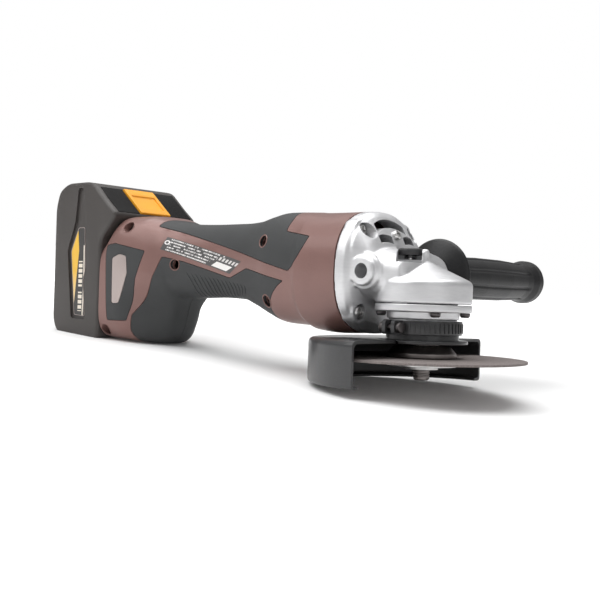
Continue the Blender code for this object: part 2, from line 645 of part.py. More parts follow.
def bevel_teeth(count, cone_angle, bore):
    """A ring of straight bevel teeth about Z with the cone's apex at the origin, opening downwards.

    Tooth 0 is centred on +X. The ring reaches from its bore out to the teeth, 2 mm deep below their roots.
    """
    start = GEAR_MEAN_RADIUS / math.sin(math.atan(GEAR_TEETH / PINION_TEETH))
    slant = Vector((math.sin(cone_angle), -math.cos(cone_angle)))  # along the cone, as (radius, height)
    outward = Vector((math.cos(cone_angle), math.sin(cone_angle)))  # away from the cone
    pitch = 2 * math.pi / count
    rows = []
    for reach in (start - GEAR_FACE_HALF, start + GEAR_FACE_HALF):
        size = reach / start
        top, root = [], []
        for tooth in range(count):
            for turn, height in ((-0.25, -DEDENDUM), (-0.12, ADDENDUM), (0.12, ADDENDUM), (0.25, -DEDENDUM)):
                angle = (tooth + turn) * pitch
                at = slant * reach + outward * height * size
                top.append((at.x * math.cos(angle), at.x * math.sin(angle), at.y))
                under = slant * reach - outward * (DEDENDUM + 2.0) * size
                under.x = max(under.x, bore)
                root.append((under.x * math.cos(angle), under.x * math.sin(angle), under.y))
        rows.append((top, root))
    (top0, root0), (top1, root1) = rows
    bm = bmesh.new()
    loops = [[bm.verts.new(p) for p in ring] for ring in (root0, top0, top1, root1)]
    for a, b in zip(loops, loops[1:] + loops[:1]):
        for i in range(len(a)):
            j = (i + 1) % len(a)
            bm.faces.new((a[i], a[j], b[j], b[i]))
    bmesh.ops.recalc_face_normals(bm, faces=bm.faces)
    return bm


def make_spindle(parent):
    disc_top = DISC_LOW + DISC_THICKNESS
    shoulder = disc_top + FLANGE_HEIGHT + GAP
    bearing_low = BOSS_LOW + PLATE_FLOOR + GAP
    seat_end = SPINDLE_TOP - BUSH_HEIGHT - 3.0
    spindle = piece("spindle", turned([
        (0, 0), (THREAD_RADIUS - 0.7, 0), (THREAD_RADIUS, 0.7), (THREAD_RADIUS, shoulder), (NECK_RADIUS, shoulder),
        (NECK_RADIUS, bearing_low - GAP), (LOWER_SEAT_RADIUS, bearing_low - GAP),
        (LOWER_SEAT_RADIUS, bearing_low + SPINDLE_BEARING_WIDTH), (GEAR_SEAT_RADIUS, bearing_low
         + SPINDLE_BEARING_WIDTH), (GEAR_SEAT_RADIUS, seat_end), (UPPER_SEAT_RADIUS, seat_end),
        (UPPER_SEAT_RADIUS, SPINDLE_TOP),
        (0, SPINDLE_TOP)]), "steel")
    bore = THREAD_RADIUS + GAP
    hub = DISC_BORE - GAP
    flange = piece("inner_flange", turned([
        (bore, DISC_LOW + GAP), (hub, DISC_LOW + GAP), (hub, disc_top + GAP), (FLANGE_RADIUS, disc_top + GAP),
        (FLANGE_RADIUS, disc_top + 2.6), (FLANGE_RADIUS - 3.6, disc_top + FLANGE_HEIGHT),
        (bore, disc_top + FLANGE_HEIGHT)], ring=True), "steel")
    nut = piece("lock_nut", turned([
        (bore, NUT_LOW), (NUT_HUB_RADIUS, NUT_LOW), (NUT_HUB_RADIUS, NUT_LOW + NUT_HUB_HEIGHT),
        (NUT_FLANGE_RADIUS, NUT_LOW + NUT_HUB_HEIGHT), (NUT_FLANGE_RADIUS, DISC_LOW - GAP), (bore, DISC_LOW - GAP)],
        ring=True), "steel")
    for step in range(4):
        cut(nut, spun_round_z(rod(2.2, NUT_LOW, NUT_LOW + NUT_HUB_HEIGHT + 2.0, (14.5, 0, 0)), 45 + 90 * step))
    disc = piece("cutting_disc", tube(DISC_BORE, DISC_RADIUS, DISC_LOW, disc_top, sides=48), "abrasive")
    gear_bore = GEAR_SEAT_RADIUS + GAP
    hub_low = bearing_low + SPINDLE_BEARING_WIDTH + GAP
    gear_top = APEX_HEIGHT - GEAR_TOP_DROP
    gear = piece("bevel_gear", turned([
        (gear_bore, hub_low), (GEAR_HUB_RADIUS, hub_low), (GEAR_HUB_RADIUS, gear_top - 6.5), (12.5, gear_top - 5.1),
        (15.5, gear_top - 1.1), (15.0, gear_top + 1.1), (12.6, gear_top + 0.9), (12.2, gear_top),
        (gear_bore, gear_top)], GEAR_TEETH, ring=True), "steel")
    cone = math.atan(GEAR_TEETH / PINION_TEETH)
    teeth = spun_round_z(bevel_teeth(GEAR_TEETH, cone, 0.0), 180)
    join(gear, moved(teeth, (0, 0, APEX_HEIGHT)))
    for step in range(LOCK_HOLES):
        hole = rod(LOCK_HOLE_RADIUS, gear_top - 7.5, gear_top + 1.5, (LOCK_OFFSET, 0, 0))
        cut(gear, spun_round_z(hole, 180 + 360 * step / LOCK_HOLES))
    for made in (spindle, flange, nut, disc, gear):
        made.parent = parent


# ---- motor ----

def fan_form():
    """The cooling fan's hub, back plate and straight blades, along X."""
    bore = SHAFT_RADIUS + GAP
    back = FAN_FRONT - FAN_DEPTH
    fan = piece("cooling_fan", moved(turned([
        (bore, back), (FAN_RADIUS, back), (FAN_RADIUS, back + 1.4), (8, back + 1.4), (8, FAN_FRONT),
        (bore, FAN_FRONT)], ring=True), (0, 0, MOTOR_Z), "X"), "black_plastic", (0, 0, MOTOR_Z))
    for step in range(FAN_BLADES):
        blade = block((back + 1.0, -0.6, 7.0), (FAN_FRONT - 0.8, 0.6, FAN_RADIUS - 0.6))
        turn = Matrix.Rotation(2 * math.pi * step / FAN_BLADES, 3, "X")
        bmesh.ops.rotate(blade, verts=blade.verts, cent=(0, 0, 0), matrix=turn)
        join(fan, moved(blade, (0, 0, MOTOR_Z)))
    return fan


def make_motor(parent):
    centre = (0, 0, MOTOR_Z)
    bearing_front = CASE_BACK + 12.6
    bearing_back = bearing_front - MOTOR_BEARING_WIDTH
    can_back = CAN_FRONT - CAN_LENGTH
    rear_bearing_front = can_back - 2.6
    rear_bearing_back = rear_bearing_front - REAR_BEARING_WIDTH
    bore = SHAFT_RADIUS + GAP
    piece("motor_bearing_front", tube(bore, MOTOR_BEARING_OUTER, bearing_back, bearing_front, centre, "X"), "steel")
    piece("motor_bearing_rear", tube(bore, REAR_BEARING_OUTER, rear_bearing_back, rear_bearing_front, centre, "X",
                                     24), "steel")
    seat = REAR_BEARING_OUTER + GAP
    piece("motor_stator", moved(turned([
        (CAN_BORE, CAN_FRONT), (CAN_RADIUS, CAN_FRONT), (CAN_RADIUS, can_back + 2), (CAN_RADIUS - 2, can_back),
        (seat + 1.8, can_back), (seat + 1.8, rear_bearing_back), (seat, rear_bearing_back),
        (seat, rear_bearing_front + GAP), (SHAFT_RADIUS + 2, rear_bearing_front + GAP), (SHAFT_RADIUS + 2, can_back),
        (SHAFT_RADIUS + 2, can_back + 2), (CAN_BORE, can_back + 2)], ring=True), centre, "X"), "copper")
    baffle = tube(19, CAN_RADIUS - 0.5, CAN_FRONT + 0.9, CAN_FRONT + 2.6, centre, "X")
    piece("fan_baffle", baffle, "black_plastic")
    rotor = piece("rotor_core", tube(bore, ROTOR_RADIUS, can_back + 6, CAN_FRONT - 3, centre, "X"), "copper", centre)
    shaft = piece("motor_shaft", moved(turned([
        (0, rear_bearing_back - 1), (SHAFT_RADIUS, rear_bearing_back - 1), (SHAFT_RADIUS, PINION_BACK),
        (SHAFT_TIP_RADIUS, PINION_BACK), (SHAFT_TIP_RADIUS, SHAFT_TIP), (0, SHAFT_TIP)], 20), centre, "X"), "steel", centre)
    fan = fan_form()
    # the pinion's cone opens backwards, along -X, and a gap between two teeth faces straight down
    cone = math.atan(PINION_TEETH / GEAR_TEETH)
    pinion_bore = SHAFT_TIP_RADIUS + GAP
    teeth = spun_round_z(bevel_teeth(PINION_TEETH, cone, pinion_bore), 180 / PINION_TEETH)
    bmesh.ops.rotate(teeth, verts=teeth.verts, cent=(0, 0, 0), matrix=Matrix.Rotation(math.pi / 2, 3, "Y"))
    pinion = piece("pinion_gear", moved(teeth, (0, 0, APEX_HEIGHT)), "steel", centre)
    join(pinion, tube(pinion_bore, pinion_bore + 0.8, PINION_BACK + GAP, SHAFT_TIP - 4.6, centre, "X", 20))
    for made in (rotor, shaft, fan, pinion):
        made.parent = parent
        made.location = (0, 0, 0)


# ---- lock button ----

def make_lock(parent):
    pin_end = APEX_HEIGHT - GEAR_TOP_DROP + 3 * GAP
    cap_low = POCKET_FLOOR + LOCK_TRAVEL + 1.2
    cap_high = cap_low + 2.8
    pivot = (-LOCK_OFFSET, 0, cap_low)
    button = piece("lock_button", moved(turned([
        (0, pin_end), (LOCK_PIN_RADIUS, pin_end), (LOCK_PIN_RADIUS, cap_low), (6.6, cap_low), (6.9, cap_low + 0.5),
        (6.9, cap_high - 0.8), (6.2, cap_high), (0, cap_high)], 20), (-LOCK_OFFSET, 0, 0)), "black_plastic", pivot)
    button.parent = parent
    button.location = (0, 0, 0)
    coil = []
    wire, radius, turns, steps = 0.3, 3.2, 3, 10
    low, high = POCKET_FLOOR + 0.6, cap_low - 0.6
    for i in range(turns * steps + 1):
        angle = 2 * math.pi * i / steps
        height = low + (high - low) * i / (turns * steps)
        ring = []
        for k in range(5):
            around = 2 * math.pi * k / 5
            r = radius + wire * math.cos(around)
            ring.append((-LOCK_OFFSET + r * math.cos(angle), r * math.sin(angle), height + wire * math.sin(around)))
        coil.append(ring)
    piece("lock_spring", lofted(coil), "steel")


# ---- guard ----

def make_guard(parent):
    inner = BOSS_RADIUS + GAP
    outer, top, low, wall = GUARD_RADIUS, GUARD_TOP, GUARD_LOW, GUARD_WALL
    rim = outer - GUARD_LIP
    shell = piece("guard_shell", turned([
        (inner, top), (outer - 3.5, top), (outer - 1.1, top - 1.1), (outer, top - 3.5), (outer, low + 4),
        (outer - 1.3, low + 1.3), (outer - 4, low), (rim, low), (rim, low + wall), (outer - 4, low + wall),
        (outer - wall - 0.8, low + wall + 0.8), (outer - wall, low + 4), (outer - wall, top - 3.5),
        (outer - 3.5, top - wall), (inner, top - wall)], 20, ring=True, angle=180, start=90), "black_steel")
    join(shell, turned([
        (inner, top - wall), (inner + 6, top - wall), (inner + 6, top), (inner + COLLAR_WALL, top),
        (inner + COLLAR_WALL, BAND_HIGH), (inner, BAND_HIGH)], 24, ring=True))
    grip = inner + COLLAR_WALL + GAP
    half_slot = 6.0
    band = piece("guard_clamp_band", turned([
        (grip, BAND_LOW), (grip + BAND_WALL, BAND_LOW), (grip + BAND_WALL, BAND_HIGH), (grip, BAND_HIGH)],
        24, ring=True, angle=360 - 2 * half_slot, start=BAND_ANGLE + half_slot), "black_steel")
    ear_reach = grip + BAND_WALL + 7
    for sign in (-1, 1):
        low_y, high_y = sorted((sign * 2.0, sign * 4.4))
        ear = block((grip + 0.4, low_y, BAND_LOW), (ear_reach, high_y, BAND_HIGH))
        join(band, spun_round_z(ear, BAND_ANGLE))
    mid = (BAND_LOW + BAND_HIGH) / 2
    screw_at = ear_reach - 3.4
    cut(band, spun_round_z(rod(1.9, -8, 8, (screw_at, 0, mid), "Y"), BAND_ANGLE))
    screw = moved(turned([
        (0, -7.4), (2.9, -7.4), (3.1, -7.0), (3.1, -4.7), (1.6, -4.7), (1.6, 4.7), (2.9, 4.7), (2.9, 7.0), (0, 7.0)],
        SMALL_SIDES), (screw_at, 0, mid), "Y")
    screw = piece("guard_clamp_screw", spun_round_z(screw, BAND_ANGLE), "steel")
    for made in (shell, band, screw):
        made.parent = parent


# ---- switch ----

def slider_slot(growth=0.0):
    """The slot that the slider's stem runs in."""
    return block((SLIDER_BACK + SLIDER_STEM_MARGIN - growth, 20, SLIDER_Z - 3 - GAP - growth),
                 (SLIDER_BACK + SLIDER_LENGTH - SLIDER_STEM_MARGIN + SWITCH_TRAVEL + growth, 40,
                  SLIDER_Z + 3 + GAP + growth))


def make_switch(parent):
    front = SLIDER_BACK + SLIDER_LENGTH
    high, low = SLIDER_Z + SLIDER_HEIGHT / 2, SLIDER_Z - SLIDER_HEIGHT / 2
    rings = []
    for x in (SLIDER_BACK, front):
        under = max(along(x, 3), along(x + SWITCH_TRAVEL, 3)) + GAP
        over = under + SLIDER_RISE
        rings.append([(x, under, low), (x, over - 1.2, low), (x, over, low + 1.5), (x, over, high - 1.5),
                      (x, over - 1.2, high), (x, under, high)])
    slider = piece("switch_slider", lofted(rings), "black_plastic")
    under = along(front, 3) + GAP
    inside = CAN_RADIUS + 0.8
    bend = CAN_FRONT - CAN_LENGTH - SWITCH_TRAVEL - 2 * GAP
    stem = block((SLIDER_BACK + SLIDER_STEM_MARGIN + GAP, inside + ROD_THICKNESS + GAP, SLIDER_Z - 3),
                 (front - SLIDER_STEM_MARGIN - GAP, under + SLIDER_RISE / 2, SLIDER_Z + 3))
    join(slider, stem)
    # the rod runs back from the slider, bends inwards behind the motor and ends at the switch
    route = [(front - 3, inside), (bend, inside), (-122, 9.6), (-127, 9.6)]
    outline = route + [(x, y + ROD_THICKNESS) for x, y in reversed(route)]
    rings = [[(x, y, z) for x, y in outline] for z in (SLIDER_Z - 2.2, SLIDER_Z + 2.2)]
    link = piece("switch_rod", lofted(rings), "black_plastic")
    body = piece("switch_body", block((-152, -8, 50), (-120.5, 8.8, 68)), "black_plastic")
    for made in (slider, link):
        made.parent = parent
    return body


# ---- battery ----

def battery_outline():
    """The pack's side view, with its shoulder over the foot, as (x, z) points."""
    front = HOUSING_REAR - 2 * GAP
    back, low, high = BATTERY_REAR, BATTERY_LOW, BATTERY_HIGH
    tip = front + BATTERY_SHOULDER
    step = FOOT_STEP + GAP
    return [(front, low), (front, step), (tip, step + BATTERY_SHOULDER * 1.045), (tip - 12, high - 14),
            (tip - 26, high - 1.5), (tip - 33, high), (back + 14, high), (back + 4, high - 5), (back, high - 17),
            (back, low + 12), (back + 3, low + 5), (back + 8, low + 1), (back + 16, low)]


def battery_solid():
    """The whole pack, filled, with its long edges bevelled."""
    inner = grown(battery_outline(), -BATTERY_BEVEL)
    rings = []
    for y, outline in ((-BATTERY_HALF, inner), (-BATTERY_HALF + BATTERY_BEVEL, battery_outline()),
                       (BATTERY_HALF - BATTERY_BEVEL, battery_outline()), (BATTERY_HALF, inner)):
        rings.append([(x, y, z) for x, z in outline])
    return lofted(rings)


def make_battery(parent):
    gap = GAP / 2
    wide, tall = BATTERY_HALF + 5, BATTERY_HIGH + 20
    rear = piece("battery_case_rear", battery_solid(), "black_plastic")
    front = piece("battery_case_front", battery_solid(), "black_plastic")
    combine(rear, "INTERSECT", block((BATTERY_REAR - 5, -wide, 0), (BATTERY_SPLIT - gap, wide, tall)))
    combine(front, "INTERSECT", block((BATTERY_SPLIT + gap, -wide, 0), (-200, wide, tall)))
    room_low, room_high = CELL_LOW - 1.0, CELL_LOW + CELL_PITCH * CELLS_IN_ROW + 4.0
    room = ((BATTERY_REAR + BATTERY_WALL, -BATTERY_HALF + BATTERY_WALL + 1.2, room_low),
            (HOUSING_REAR - GAP - BATTERY_WALL, BATTERY_HALF - BATTERY_WALL - 1.2, room_high))
    cut(rear, block(*room))
    cut(front, block(*room))
    # rail: neck and head of a T, and slots below for the terminal blades
    back = HOUSING_REAR - GAP - OVERSHOOT * 1.5
    neck_front = HOUSING_REAR + RAIL_NECK_DEPTH + 0.1
    head_front = HOUSING_REAR + RAIL_NECK_DEPTH + RAIL_HEAD_DEPTH
    join(front, block((back, -RAIL_NECK_HALF, RAIL_LOW), (neck_front, RAIL_NECK_HALF, RAIL_HIGH)))
    join(front, block((neck_front - 0.1, -RAIL_HEAD_HALF, RAIL_LOW), (head_front, RAIL_HEAD_HALF, RAIL_HIGH)))
    for y in (-BLADE_Y, BLADE_Y):
        cut(front, block((HOUSING_REAR - GAP / 2, y - 0.9, RAIL_LOW - 1), (head_front + 1, y + 0.9, BLADE_HIGH + 2)))
    # recess for the latch in the sloping top
    well = battery_latch_block(LATCH_HALF + GAP, LATCH_DEPTH + LATCH_TRAVEL + 2 * GAP)
    cut(front, well)
    latch = piece("battery_latch", battery_latch_block(LATCH_HALF, LATCH_DEPTH, GAP), "orange_plastic")
    cells = []
    for row, x in enumerate(CELL_ROWS_X, 1):
        made = piece(f"cell_row_{row}", rod(CELL_RADIUS, -CELL_LENGTH / 2, CELL_LENGTH / 2,
                                            (x, 0, CELL_LOW + CELL_RADIUS), "Y", 12), "cell_blue")
        for cell in range(1, CELLS_IN_ROW):
            z = CELL_LOW + CELL_RADIUS + CELL_PITCH * cell
            join(made, rod(CELL_RADIUS, -CELL_LENGTH / 2, CELL_LENGTH / 2, (x, 0, z), "Y", 12))
        cells.append(made)
    board_z = room_high - 2.2
    board = piece("battery_board", block((BATTERY_SPLIT - 24, -30, board_z), (BATTERY_SPLIT - 4, 30, board_z + 1.2)),
                  "circuit_board")
    for made in (rear, front, latch, board, *cells):
        made.parent = parent


def battery_latch_block(half, depth, lift=0.0):
    """A bar along the pack's sloping top, as wide as the latch, sunk into it by the depth."""
    outline = battery_outline()
    low, high = Vector(outline[2]), Vector(outline[4])
    run = (high - low).normalized()
    out = Vector((run.y, -run.x))
    if out.y < 0:
        out = -out
    a, b = low + run * (3 + lift), high - run * (3 + lift)
    corners = [a - out * (depth - 2 * lift), b - out * (depth - 2 * lift), b + out * 1.2, a + out * 1.2]
    return slab([tuple(c) for c in corners], -half, half)


# ---- side handle ----

def make_side_handle(parent):
    place = (HANDLE_BOSS_X, 0, HANDLE_BOSS_Z)
    y, r = HANDLE_GUARD_Y, HANDLE_GUARD_RADIUS
    end, tip = HANDLE_END, HANDLE_END_RADIUS
    bore = STUD_RADIUS + GAP
    grip = piece("handle_grip", moved(turned([
        (0, STUD_END + 0.6), (bore, STUD_END + 0.6), (bore, HANDLE_START), (7.4, HANDLE_START), (10.5, y - 5), (r - 1, y - 2.4), (r, y - 1), (r, y + 1),
        (r - 2, y + 2.4), (HANDLE_GRIP_RADIUS + 1, y + 4.5), (HANDLE_GRIP_RADIUS - 0.8, y + 10),
        (HANDLE_GRIP_RADIUS, y + 40), (HANDLE_GRIP_RADIUS - 0.8, end - 16), (tip, end - 11), (tip, end - 4),
        (tip - 2.5, end), (0, end)], 24), place, "Y"), "black_plastic")
    stud = piece("handle_stud", moved(turned([
        (0, STUD_START), (STUD_RADIUS - 0.5, STUD_START), (STUD_RADIUS, STUD_START + 0.6), (STUD_RADIUS, STUD_END),
        (0, STUD_END)], 16), place, "Y"), "steel")
    for made in (grip, stud):
        made.parent = parent


# ---- electronics in the foot ----

def make_electronics():
    board = piece("control_board", block((-222, -20, 56), (-194, 20, 57.6)), "circuit_board")
    join(board, block((-216, -14, 57), (-206, -6, 66)), block((-206, 2, 57), (-198, 12, 62)))
    front = HOUSING_REAR + REAR_WALL + GAP
    terminal = piece("terminal_block", block((front, -14, BLADE_LOW - 3), (front + 8, 14, BLADE_HIGH + 3)),
                     "black_plastic")
    for y in (-BLADE_Y, BLADE_Y):
        join(terminal, block((HOUSING_REAR + 1, y - 0.4, BLADE_LOW), (front + 1, y + 0.4, BLADE_HIGH)))


def pivot(name, place):
    """An empty on a joint's axis, which the joint's pieces hang from."""
    made = bpy.data.objects.new(name, None)
    made.location = Vector(place) * MM
    bpy.context.scene.collection.objects.link(made)
    return made


def main():
    for old in list(bpy.data.objects):
        bpy.data.objects.remove(old, do_unlink=True)
    shells = make_housing()
    for y in (-BLADE_Y, BLADE_Y):
        window = cutter(block((HOUSING_REAR, y - 0.8, BLADE_LOW - 0.6),
                              (HOUSING_REAR + REAR_WALL + 4, y + 0.8, BLADE_HIGH + 0.6)))
        cut(shells[int(math.copysign(1, y))], window)
    make_gear_case()
    make_bearing_plate()
    make_electronics()
    make_spindle(pivot("spindle_axis", (0, 0, 0)))
    make_motor(pivot("motor_axis", (0, 0, MOTOR_Z)))
    make_lock(pivot("lock_axis", (-LOCK_OFFSET, 0, POCKET_FLOOR + LOCK_TRAVEL + 1.2)))
    make_guard(pivot("guard_axis", (0, 0, 0)))
    make_switch(pivot("switch_slide", (0, 0, 0)))
    make_side_handle(pivot("handle_axis", (0, 0, 0)))
    make_battery(pivot("battery_slide", (0, 0, 0)))


main()
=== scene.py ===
import json
import math

import bmesh
import bpy
from mathutils import Matrix, Vector


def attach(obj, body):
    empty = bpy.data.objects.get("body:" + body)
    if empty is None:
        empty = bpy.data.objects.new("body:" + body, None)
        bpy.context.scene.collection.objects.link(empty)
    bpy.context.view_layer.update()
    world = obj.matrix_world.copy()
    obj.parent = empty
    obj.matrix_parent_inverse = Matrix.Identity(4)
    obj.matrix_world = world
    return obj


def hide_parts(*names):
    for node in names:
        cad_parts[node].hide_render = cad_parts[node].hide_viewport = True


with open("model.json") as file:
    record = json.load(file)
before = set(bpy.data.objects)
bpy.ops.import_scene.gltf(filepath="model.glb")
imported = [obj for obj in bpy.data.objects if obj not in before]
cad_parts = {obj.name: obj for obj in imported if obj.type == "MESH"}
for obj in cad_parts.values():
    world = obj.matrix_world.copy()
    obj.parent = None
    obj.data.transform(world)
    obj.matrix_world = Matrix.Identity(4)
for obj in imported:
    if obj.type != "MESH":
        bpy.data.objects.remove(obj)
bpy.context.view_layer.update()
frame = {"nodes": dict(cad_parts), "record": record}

mm = 0.001
print("frame:", len(frame["nodes"]), "CAD nodes")


# node graphs: sockets that can be used in Python expressions

class Value:
    def __init__(self, graph, socket):
        self.graph = graph
        self.socket = socket

    def maths(self, operation, first, second=0.0, clamp=False):
        settings = {"operation": operation, "use_clamp": clamp}
        return self.graph.node("ShaderNodeMath", settings, {0: first, 1: second})

    def __add__(self, other):
        return self.maths("ADD", self, other)

    def __radd__(self, other):
        return self.maths("ADD", other, self)

    def __sub__(self, other):
        return self.maths("SUBTRACT", self, other)

    def __rsub__(self, other):
        return self.maths("SUBTRACT", other, self)

    def __mul__(self, other):
        return self.maths("MULTIPLY", self, other)

    def __rmul__(self, other):
        return self.maths("MULTIPLY", other, self)

    def __truediv__(self, other):
        return self.maths("DIVIDE", self, other)

    def __rtruediv__(self, other):
        return self.maths("DIVIDE", other, self)

    def __pow__(self, other):
        return self.maths("POWER", self, other)

    def over(self, limit):
        return self.maths("GREATER_THAN", self, limit)

    def under(self, limit):
        return self.maths("LESS_THAN", self, limit)

    def most(self, other):
        return self.maths("MAXIMUM", self, other)

    def clamped(self):
        return self.maths("ADD", self, 0.0, True)

    def size(self):
        return self.maths("ABSOLUTE", self)

    def sine(self):
        return self.maths("SINE", self)

    def cosine(self):
        return self.maths("COSINE", self)

    def fraction(self):
        return self.maths("FRACT", self)

    def part(self, name):
        # one of a vector's three numbers
        return self.graph.node("ShaderNodeSeparateXYZ", inputs={0: self}, output=name)


class Graph:
    def __init__(self, tree):
        self.tree = tree

    def node(self, kind, settings=None, inputs=None, output=0):
        made = self.tree.nodes.new(kind)
        for name, value in (settings or {}).items():
            if name == "stops":
                self.fillRamp(made.color_ramp, value)
            elif name == "shape":
                self.fillCurve(made.mapping, value)
            else:
                setattr(made, name, value)
        for key, value in (inputs or {}).items():
            self.feed(made.inputs[key], value)
        return Value(self, made.outputs[output])

    def feed(self, socket, value):
        if isinstance(value, Value):
            self.tree.links.new(value.socket, socket)
        else:
            socket.default_value = value

    def fillRamp(self, ramp, stops):
        for step, (place, colour) in zip(ramp.elements, stops):
            step.position, step.color = place, (*colour, 1)
        for place, colour in stops[2:]:
            ramp.elements.new(place).color = (*colour, 1)

    def fillCurve(self, mapping, points):
        curve = mapping.curves[0]
        for point, place in zip(curve.points, points):
            point.location = place
        for place in points[2:]:
            curve.points.new(*place)
        for point in curve.points:
            point.handle_type = "VECTOR"
        mapping.update()


class Finish(Graph):
    def __init__(self, name, colour, roughness, metallic=0.0, **sockets):
        self.material = bpy.data.materials.new(name)
        self.material.use_nodes = True
        super().__init__(self.material.node_tree)
        self.shader = self.tree.nodes["Principled BSDF"]
        self.set("Base Color", (*colour, 1))
        self.set("Roughness", roughness)
        self.set("Metallic", metallic)
        for socket, value in sockets.items():
            self.set(socket.replace("_", " "), value)
        self.place = self.node("ShaderNodeTexCoord", output="Object")

    def set(self, socket, value):
        self.feed(self.shader.inputs[socket], value)

    def noise(self, scale, detail=2.0, place=None, stretch=None):
        place = place or self.place
        if stretch:
            place = self.node("ShaderNodeMapping", inputs={"Vector": place, "Scale": stretch})
        return self.node("ShaderNodeTexNoise", inputs={"Vector": place, "Scale": scale, "Detail": detail})

    def cells(self, scale, output="Distance"):
        return self.node("ShaderNodeTexVoronoi", inputs={"Vector": self.place, "Scale": scale}, output=output)

    def blend(self, first, second, factor):
        first, second = (c if isinstance(c, Value) else (*c, 1) for c in (first, second))
        return self.node("ShaderNodeMix", {"data_type": "RGBA"}, {0: factor, 6: first, 7: second}, 2)

    def colour(self, value):
        self.set("Base Color", value)

    def bump(self, height, distance, strength=1.0, edge=None):
        # edge: radius in metres that hard edges look rounded by
        inputs = {"Height": height, "Distance": distance, "Strength": strength}
        if edge:
            inputs["Normal"] = self.node("ShaderNodeBevel", {"samples": 6}, {"Radius": edge})
        self.set("Normal", self.node("ShaderNodeBump", inputs=inputs))


# finishes

def makeCastAluminium():
    made = Finish("castAluminium", (0.7, 0.7, 0.71), 0.4, 0.82)
    patches = made.noise(70, 3)
    grain = made.noise(1900, 3)
    streaks = made.noise(160, 2, stretch=(1, 1, 6))
    made.colour(made.blend((0.56, 0.56, 0.57), (0.8, 0.8, 0.81), (patches * 0.6 + streaks * 0.4).clamped()))
    made.set("Roughness", 0.3 + patches * 0.26)
    made.bump(grain * 0.7 + patches * 0.3, 0.00012, 0.8, 0.0004)
    return made.material


def makeMachined(name, colour, roughness=0.28):
    # turned or drawn steel, with fine marks
    made = Finish(name, colour, roughness, 1.0)
    marks = made.noise(900, 2, stretch=(1, 1, 9))
    patches = made.noise(220, 2)
    made.colour(made.blend([c * 0.72 for c in colour], [min(1.0, c * 1.2) for c in colour], patches))
    made.set("Roughness", roughness * 0.7 + marks * roughness * 0.8)
    made.bump(marks, 0.00003, 0.6, 0.0002)
    return made.material


def makeMoulded(name, dark, light, roughness, texture=0.00006, edge=0.0004, grain=2600, **sockets):
    # moulded plastic with a fine eroded texture
    made = Finish(name, light, roughness, **sockets)
    patches = made.noise(60, 3)
    pits = made.noise(grain, 2)
    made.colour(made.blend(dark, light, (patches * 0.5 + pits * 0.5).clamped()))
    made.set("Roughness", roughness - 0.06 + pits * 0.14)
    made.bump(pits, texture, 0.9, edge)
    return made.material


def makeGripRubber():
    # overmoulded rubber: faint cross-hatch under a dusty surface
    made = Finish("gripRubber", (0.045, 0.047, 0.048), 0.62, Specular_IOR_Level=0.35)
    patches = made.noise(45, 3)
    pits = made.noise(3000, 2)
    across = (made.place.part("X") * 5200.0).sine()
    up = (made.place.part("Z") * 5200.0).sine()
    mottle = (patches * 0.7 + pits * 0.3).clamped()
    made.colour(made.blend((0.03, 0.031, 0.032), (0.062, 0.064, 0.065), mottle))
    made.set("Roughness", 0.52 + patches * 0.18)
    made.bump(across * up * 0.35 + pits * 0.6, 0.00006, 0.8, 0.0004)
    return made.material


def makeAbrasive():
    # grit in resin over a woven glass net
    made = Finish("abrasive", (0.17, 0.145, 0.14), 0.9)
    grit = made.cells(1500)
    dust = made.noise(120, 3)
    netX = ((made.place.part("X") * 1450.0).sine().size()).under(0.22)
    netY = ((made.place.part("Y") * 1450.0).sine().size()).under(0.22)
    net = netX.most(netY)
    speck = made.blend((0.09, 0.075, 0.07), (0.27, 0.235, 0.225), (grit * 1.2).clamped())
    dusty = made.blend(speck, (0.2, 0.17, 0.165), (dust * 0.8).clamped())
    made.colour(made.blend(dusty, (0.3, 0.265, 0.25), net * 0.35))
    made.bump(grit * 0.8 + net * 0.5, 0.0002, 1.0)
    return made.material


def makeGuardPaint():
    # black paint on pressed steel, rubbed and dusty in patches
    made = Finish("guardPaint", (0.03, 0.03, 0.031), 0.34, 0.1, Coat_Weight=0.25)
    patches = made.noise(50, 4)
    peel = made.noise(500, 2)
    scratches = made.noise(700, 2, stretch=(1, 1, 14)).over(0.69)
    paint = made.blend((0.02, 0.02, 0.021), (0.05, 0.05, 0.052), patches)
    made.colour(made.blend(paint, (0.2, 0.2, 0.2), scratches * 0.35))
    made.set("Roughness", 0.26 + patches * 0.24)
    made.bump(peel, 0.00006, 0.7, 0.0004)
    return made.material


def makeCopper():
    # enamelled wire in slots
    made = Finish("windings", (0.6, 0.28, 0.12), 0.35, 0.9)
    wires = (made.place.part("X") * 9000.0).sine()
    made.colour(made.blend((0.34, 0.15, 0.07), (0.72, 0.36, 0.16), wires * 0.5 + 0.5))
    made.bump(wires, 0.0001, 0.8)
    return made.material


def makeBoard():
    made = Finish("circuitBoard", (0.03, 0.2, 0.08), 0.4)
    tracks = made.cells(500).under(0.25)
    made.colour(made.blend((0.02, 0.14, 0.05), (0.06, 0.3, 0.12), tracks))
    made.bump(tracks * 1.0, 0.0001, 0.5)
    return made.material


